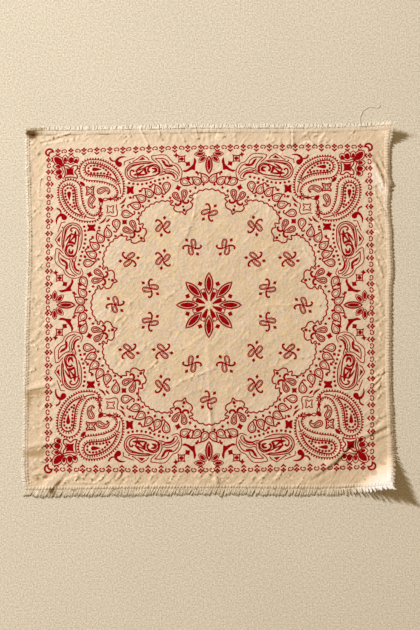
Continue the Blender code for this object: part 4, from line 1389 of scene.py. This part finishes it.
def make_cloth():
    """The printed panel: one closed sheet, with the print's outlines in the mesh of its upper face."""
    shapes = [(on_cloth(points), is_ink) for points, is_ink in whole_print()]
    edges, first = [], 0
    for points, _ in shapes:
        count = len(points)
        edges += [(first + i, first + (i + 1) % count) for i in range(count)]
        first += count
    drawn, rim = np.vstack([points for points, _ in shapes]), rim_points()
    flat = np.vstack([drawn, free_points(drawn, rim), rim])
    top, triangles, top_rim = triangulated(flat, edges, range(len(flat) - len(rim), len(flat)))
    faces = [tuple(face) for face in triangles]
    slots = inked(top[np.array(triangles)].mean(axis=1), shapes).astype(int).tolist()

    us, vs = np.arange(LEFT + 8, RIGHT - 6, UNDER_GRID), np.arange(BOTTOM + 8, TOP - 6, UNDER_GRID)
    inner = lattice(us, vs)
    under, triangles, under_rim = triangulated(np.vstack([rim, inner]), [], range(len(rim)))
    count = len(top)
    faces += [tuple(count + corner for corner in face[::-1]) for face in triangles]
    for here in range(len(rim)):
        after = (here + 1) % len(rim)
        wall = (top_rim[after], top_rim[here], count + under_rim[here], count + under_rim[after])
        faces.append(wall)
    slots += [BACK_SLOT] * (len(faces) - len(slots))

    over, below = (top[:, 0], top[:, 1]), (under[:, 0], under[:, 1])
    heights = np.concatenate([cloth_top(*over), raised(*below)])
    points = np.column_stack([np.vstack([top, under]), heights])
    facing = np.vstack([upward(*over, cloth_top), -upward(*below, raised)])
    made = add_mesh("printed_cloth", points, faces, [ground, ink, back], slots, facing)
    add_uv(made.data, points, count)
    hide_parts("panel")
    return made


# ---------------------------------------------------------------- hems, stitches and frayed edges

HEM_FLOOR = 0.35  # how high a hem's face stands at its edges
HEM_STEPS, HEM_PITCH = 13, 0.62  # the points across a hem's face, and how far apart its rows are
# what a full mark of the hems' painted shade and dark specks takes from red, green and blue
SHADE_AND_SPECK_TINT = np.array([0.86, 0.94, 1.18])  # how much a full mark takes from red, green and blue
SPECK_PITCH = 4.7  # how far apart the dark specks of a row are
STITCH_PITCH, STITCH_GAP = 2.6, 0.7
TUFT_WIDTHS = (2.2, 3.0, 3.6, 4.4, 5.6)
THREAD_STOPS = np.array([0.0, 0.3, 0.6, 0.87, 1.0])  # where along a frayed thread its points are
THREAD_TAPER = np.array([1.0, 1.0, 1.0, 0.9, 0.65])  # and how thick it is there
DARK_ROOT = 0.45  # the shade of the roots in a dark tuft


def beside(side, place, out):
    """Points on the table beside one edge of the panel: a place along it, and how far out."""
    edge, outward = EDGES[side]
    place, off = np.asarray(place, float), edge + outward * np.asarray(out, float)
    return plan(off, place) if side in ("left", "right") else plan(place, off)


def reach(side, extra=0.0):
    """The places along a side where its hem begins and ends."""
    if side in ("left", "right"):
        return BOTTOM - extra, TOP + extra
    return LEFT - SEAM - SIDES["left"]["hem"] - extra, RIGHT + SEAM + SIDES["right"]["hem"] + extra


def across_hem(side, out):
    """How far across its hem a place is, from 0 at the seam to 1 at the outer edge."""
    return np.clip((out - SEAM) / SIDES[side]["hem"], 0.0, 1.0)


def puckers(side, place, share):
    """A hem's gathers, from about -1 in the thin valleys between them to 1 on their round tops."""
    size = SIDES[side]
    slant = place + 1.6 * share + 2.6 * noise(place, share, 17.0, 33)
    small, large = humps(slant, size["small"], 0.6), humps(slant, size["large"], 0.6, start=1.0)
    strength = 1.0 + 0.7 * noise(place, share, 30.0, 36)
    return (1.3 * small + 0.7 * large - 1.2) * strength


def hem_height(side, place, out):
    """How high a hem's upper face stands over its underside: gathered, and pulled in by its stitches."""
    size, share = SIDES[side], across_hem(side, out)
    uneven = 1 + 0.10 * noise(place, share * 9, 24.0, 31) + 0.08 * noise(place, share, 7.0, 32)
    dome = np.sin(np.pi * np.clip(share * 0.86 + 0.07, 0, 1)) ** 0.5
    height = HEM_FLOOR + (size["crest"] * uneven - HEM_FLOOR) * dome
    ribs = size["rib"] * puckers(side, place, share)
    height = height + ribs * np.sin(np.pi * np.clip(share, 0.06, 0.94))
    return np.maximum(0.3, height - 0.22 * band(out - SEAM - size["stitch"], 0.6))


def hem_shade_and_specks(side, place, out):
    """How much of its colour a hem loses: painted shade in its inner groove and on its outer edge, a
    painted highlight there where that value is negative, and its rows of dark specks.
    """
    shade_and_fray, share = HEM_SHADE_AND_FRAY[side], across_hem(side, out)
    # painted shade in the groove along the seam, broken into dashes
    dashed = 0.15 + 1.4 * noise(place, place * 0, 9.0, 51) + 0.5 * noise(place, out, 3.0, 54)
    darkening = shade_and_fray["inner"] * np.clip(dashed, 0, 1.4) * band(out - SEAM - 0.3, 0.8)
    # painted shade on the hem's outer edge, and a painted highlight where the outer value is negative
    outer_patches = patchy(place, out, 3.4, 52, mean=0.8, swing=0.5, most=1.3)
    darkening = darkening + shade_and_fray["outer"] * outer_patches * (share**4)
    for row in shade_and_fray["rows"]:
        wavy = place + 2.2 * noise(place, out, 8.0, 55)
        specks = np.clip(1.6 * np.sin(2 * np.pi * wavy / SPECK_PITCH + row) - 0.3, 0, 1)
        specks = specks * patchy(place, row, 9.0, 56, mean=0.5, swing=1.3, most=1.4)
        drift = row + 0.8 * noise(place, row, 6.0, 57)
        darkening = darkening + shade_and_fray["marks"] * specks * band(out - SEAM - drift, 1.1)
    return darkening


def crease_rises(side, start, end, out):
    """How far the creases, running on across a hem, raise it along a line: the places and the rises."""
    places = np.linspace(*reach(side, 6.0), 1100)
    x, y = beside(side, places, np.full_like(places, out))
    spots = np.linspace(start, end, 900)
    return spots, np.interp(spots, places, HEM_CREASING * creased(x, y))


def tube_faces(first, rows, sides):
    """The faces of a closed tube, whose points go round it row by row from a first one on."""
    faces = []
    for i in range(rows - 1):
        for k in range(sides):
            here, after = first + i * sides + k, first + i * sides + (k + 1) % sides
            faces.append((here, after, after + sides, here + sides))
    last = first + (rows - 1) * sides
    faces.append(tuple(range(first + sides - 1, first - 1, -1)))
    faces.append(tuple(range(last, last + sides)))
    return faces


def make_hem(side):
    """A narrow turned hem: a ribbed band whose underside lies flat."""
    start, end = reach(side)
    places = np.linspace(start, end, round((end - start) / HEM_PITCH))
    outs = SEAM * 0.2 + (SIDES[side]["hem"] + SEAM * 0.7) * np.linspace(0, 1, HEM_STEPS)
    place, out = np.meshgrid(places, outs, indexing="ij")
    x, y = beside(side, place, out)
    z = raised(x, y) + hem_height(side, place, out) + HEM_CREASING * creased(x, y)
    points = [np.stack([x, y, z], axis=2)]
    for edge in (outs[-1], outs[0]):
        x, y = beside(side, places, np.full_like(places, edge))
        points.append(np.stack([x, y, raised(x, y)], axis=1)[:, None])
    points = np.concatenate(points, axis=1)
    faces = tube_faces(0, len(places), points.shape[1])
    if side in ("top", "left"):
        faces = [face[::-1] for face in faces]
    shade = np.ones_like(points)
    # the hem's face carries its painted shade and highlight, and its dark specks
    shade[:, :HEM_STEPS] = np.clip(1 - hem_shade_and_specks(side, place, out)[:, :, None] * SHADE_AND_SPECK_TINT, 0.15, None)
    points, shade = points.reshape(-1, 3), shade.reshape(-1, 3)
    made = add_mesh("hem_along_" + side, points, faces, [hem_cotton], shade=shade)
    made.data.set_sharp_from_angle(angle=math.radians(60))
    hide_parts("hem_" + side)
    return made


def tubes(name, courses, radii, sides, flatness=1.0, shades=None):
    """Many threads as one mesh: closed tubes along courses of (x, y, z), with their radii and shades."""
    points, faces = [], []
    angles = np.arange(sides) * 2 * math.pi / sides
    for course, radius in zip(courses, radii):
        ahead = np.gradient(course, axis=0)
        ahead /= np.linalg.norm(ahead, axis=1)[:, None]
        flat = np.stack([-ahead[:, 1], ahead[:, 0], np.zeros(len(ahead))], axis=1)
        flat /= np.maximum(np.linalg.norm(flat, axis=1), 1e-6)[:, None]
        tall = np.cross(ahead, flat)
        radius = np.broadcast_to(radius, (len(course),))[:, None]
        rings = [course + radius * (flat * math.cos(a) + tall * math.sin(a) * flatness) for a in angles]
        faces += tube_faces(len(points), len(course), sides)
        points += np.stack(rings, axis=1).reshape(-1, 3).tolist()
    tones = 1.0 if shades is None else np.repeat(np.concatenate(shades), sides, axis=0)
    return add_mesh(name, points, faces, [frayed], shade=tones)


def make_tufts(side, start, end, uneven):
    """A fringe's tufts: start, end, how closely drawn together, swing, length and root shade."""
    shade_and_fray = HEM_SHADE_AND_FRAY[side]
    tufts = []
    while start < end:
        stop = start + uneven.choice(TUFT_WIDTHS)
        gather = shade_and_fray["gather"] * uneven.uniform(0.5, 1.5)
        dark = DARK_ROOT if uneven.random() < shade_and_fray["dark"] else 1.0
        tufts.append((start, stop, gather, uneven.gauss(0, 0.6), uneven.uniform(0.84, 1.12), dark))
        start = stop
    return tufts


def make_fringe(side, count, seed):
    """The cloth's own threads, frayed out beyond a hem: they lean, and draw together in uneven tufts."""
    uneven = random.Random(seed)
    shade_and_fray, hem_end = HEM_SHADE_AND_FRAY[side], SEAM + SIDES[side]["hem"]
    start, end = reach(side, 5.0 if side in ("left", "right") else 1.0)
    tufts = make_tufts(side, start, end, uneven)
    rises = crease_rises(side, start, end, hem_end - 0.6)
    courses, radii, shades = [], [], []
    which = 0
    for i in range(count):
        place = start + (end - start) * (i + uneven.random()) / count
        while which < len(tufts) - 1 and place > tufts[which][1]:
            which += 1
        low, high, gather, swing, long, dark = tufts[which]
        length = along(FRINGES[side], place) * long * uneven.uniform(0.78, 1.08)
        lean = along(LEANS[side], place) * uneven.uniform(0.8, 1.2)
        lean += ((low + high) / 2 - place) * gather + swing + uneven.gauss(0, 0.25)
        bend = uneven.gauss(0, 0.35)
        tips = shade_and_fray["tips"] * uneven.uniform(0.75, 1.15)
        root = hem_end - 0.4 - shade_and_fray["root"] * uneven.random()
        foot = hem_height(side, place, root) + uneven.uniform(0.05, 0.25) + np.interp(place, *rises)

        out = root + (hem_end + STRIP_WIDTH - root + length) * THREAD_STOPS
        beyond = np.clip((out - root - 0.6) / max(length, 0.5), 0.0, 1.2)
        x, y = beside(side, place + lean * beyond + bend * np.sin(np.pi * THREAD_STOPS), out)
        lift = foot + (tips - foot) * THREAD_STOPS**0.8 + 0.12 * np.sin(3.0 * THREAD_STOPS + i)
        courses.append(np.stack([x, y, raised(x, y) + np.maximum(0.30, lift)], axis=1))
        radii.append(uneven.uniform(0.26, 0.44) * THREAD_TAPER)

        # Threads on the paler stretches take the pale tone and lose most of their painted shade; at the
        # lifted right corners this paleness is painted light. The shade along each thread is painted
        # shade, darkest at the ends, where their shadow falls on the table.
        pale = along(PALE_THREADS[side], place)
        tone = uneven.uniform(0.86, 1.06) * (np.array(shade_and_fray["tone"]) * (1 - pale) + PALE_THREAD_TONE * pale)
        shade_along = np.array(shade_and_fray["shade_along"]) * (dark * (1 - pale) + pale, 1, 1, 1, 1)
        shades.append(np.outer(shade_along + (1 - shade_along) * 0.8 * pale, tone))
    made = tubes("fringe_along_" + side, courses, radii, 4, 0.45, shades)
    return made


def make_stitches():
    """The sewing along each hem: short stitches that sit in the line that they pull down."""
    courses = []
    stops = np.array([0.0, 0.5, 1.0]) * (STITCH_PITCH - STITCH_GAP)
    for side in SIDES:
        start, end = reach(side)
        line_out = SEAM + SIDES[side]["stitch"]
        rises = crease_rises(side, start, end, line_out)
        for k in range(int((end - start) / STITCH_PITCH)):
            places = start + STITCH_PITCH * k + stops
            out = np.full(len(stops), line_out + 0.12 * math.sin(k * 1.3))
            x, y = beside(side, places, out)
            z = raised(x, y) + hem_height(side, places, out) + np.interp(places, *rises)
            courses.append(np.stack([x, y, z + np.array([-0.08, 0.05, -0.08])], axis=1))
    made = tubes("hem_stitches", courses, [[0.08, 0.14, 0.08]] * len(courses), 4)
    return made


def make_loose_threads():
    """The thread drawn out of the top edge, and the whisker at the right edge."""
    rows = []
    for course in (THREAD_COURSE, WHISKER_COURSE):
        flat = spline(course, step=1.2)
        height = 0.55 + 0.25 * np.sin(np.arange(len(flat)) * 0.7)
        rows.append(np.column_stack([flat, height]))
    thread = tubes("loose_thread_out", rows[:1], [0.28], 6)
    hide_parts("loose_thread")
    whisker = tubes("stray_whisker", rows[1:], [0.3], 6)
    return thread, whisker


# ---------------------------------------------------------------- the table, the light and the camera

TABLE_HALF = 2.5  # half the table top's width, in metres
LIGHT_TRAVEL = -34.2  # the way that shadows fall on the table, in degrees from +x
LIGHT_HEIGHT = 30.0  # the light's height over the table, in degrees
LIGHT_DISTANCE = 5.8  # in metres, as are the light's width and the camera's measures
LIGHT_WIDTH, LIGHT_POWER = 0.62, 470.0
FILL_COLOUR, FILL_STRENGTH = (1.0, 0.70, 0.37, 1.0), 0.30
CAMERA_PLACE = (1.66 * MM, -15.1 * MM, 3.0)
VIEW_HEIGHT = 0.951  # how much of the table the camera sees from its top to its bottom
SENSOR_HEIGHT = 36.0


def make_floor():
    """A pale plain table top with a faint grain."""
    mesh = bpy.data.meshes.new("table_top")
    corners = [(TABLE_HALF * x, TABLE_HALF * y, 0) for x, y in ((-1, -1), (1, -1), (1, 1), (-1, 1))]
    mesh.from_pydata(corners, [], [(0, 1, 2, 3)])
    nodes = Nodes("table_grain", Roughness=0.9, Specular_IOR_Level=0.2)
    grain = nodes.noise(430, 3.0, rough=0.8)
    fine = nodes.ramp(grain, [(0.3, linear(178, 169, 148)), (0.7, linear(255, 247, 229))])
    soft = nodes.ramp(nodes.noise(7), [(0.3, grey(0.97)), (0.7, grey(1.0))])
    nodes.fill(nodes.shader, Base_Color=nodes.mix(1.0, fine, soft, "MULTIPLY"))
    nodes.bump(grain, 0.0003)
    mesh.materials.append(nodes.material)
    add_object("table_top", mesh)


def make_light():
    """A broad lamp low on the upper left, and a warm even fill."""
    lamp = bpy.data.lights.new("key", "AREA")
    lamp.shape = "DISK"
    lamp.size = LIGHT_WIDTH
    lamp.energy = LIGHT_POWER
    key = add_object("key", lamp)
    turn = math.radians(LIGHT_HEIGHT)
    dx, dy = polar(LIGHT_TRAVEL, math.cos(turn) * LIGHT_DISTANCE)
    key.location = (-dx, -dy, math.sin(turn) * LIGHT_DISTANCE)
    key.rotation_euler = (-key.location).to_track_quat("-Z", "Y").to_euler()
    world = bpy.data.worlds.new("fill")
    world.use_nodes = True
    fill = world.node_tree.nodes["Background"]
    fill.inputs["Color"].default_value = FILL_COLOUR
    fill.inputs["Strength"].default_value = FILL_STRENGTH
    bpy.context.scene.world = world
    bpy.context.scene.view_settings.view_transform = "Standard"


def make_camera():
    """A long lens straight above the cloth."""
    camera = bpy.data.cameras.new("camera")
    camera.sensor_fit = "VERTICAL"
    camera.sensor_height = SENSOR_HEIGHT
    camera.lens = SENSOR_HEIGHT * CAMERA_PLACE[2] / VIEW_HEIGHT
    camera.dof.use_dof = False
    made = add_object("camera", camera)
    made.location = CAMERA_PLACE
    bpy.context.scene.camera = made


# ---------------------------------------------------------------- the whole scene

make_camera()
make_light()
make_floor()
cloth = make_cloth()
hems = [make_hem(side) for side in SIDES]
fringes = [
    make_fringe("top", 1300, 1),
    make_fringe("bottom", 1300, 2),
    make_fringe("left", 900, 3),
    make_fringe("right", 760, 4),
]
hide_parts("fringe_top", "fringe_top_corner")
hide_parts("fringe_bottom", "fringe_bottom_corner")
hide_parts("fringe_left")
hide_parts("fringe_right", "fringe_right_low_corner", "fringe_right_top_corner")
stitches = make_stitches()
loose = make_loose_threads()
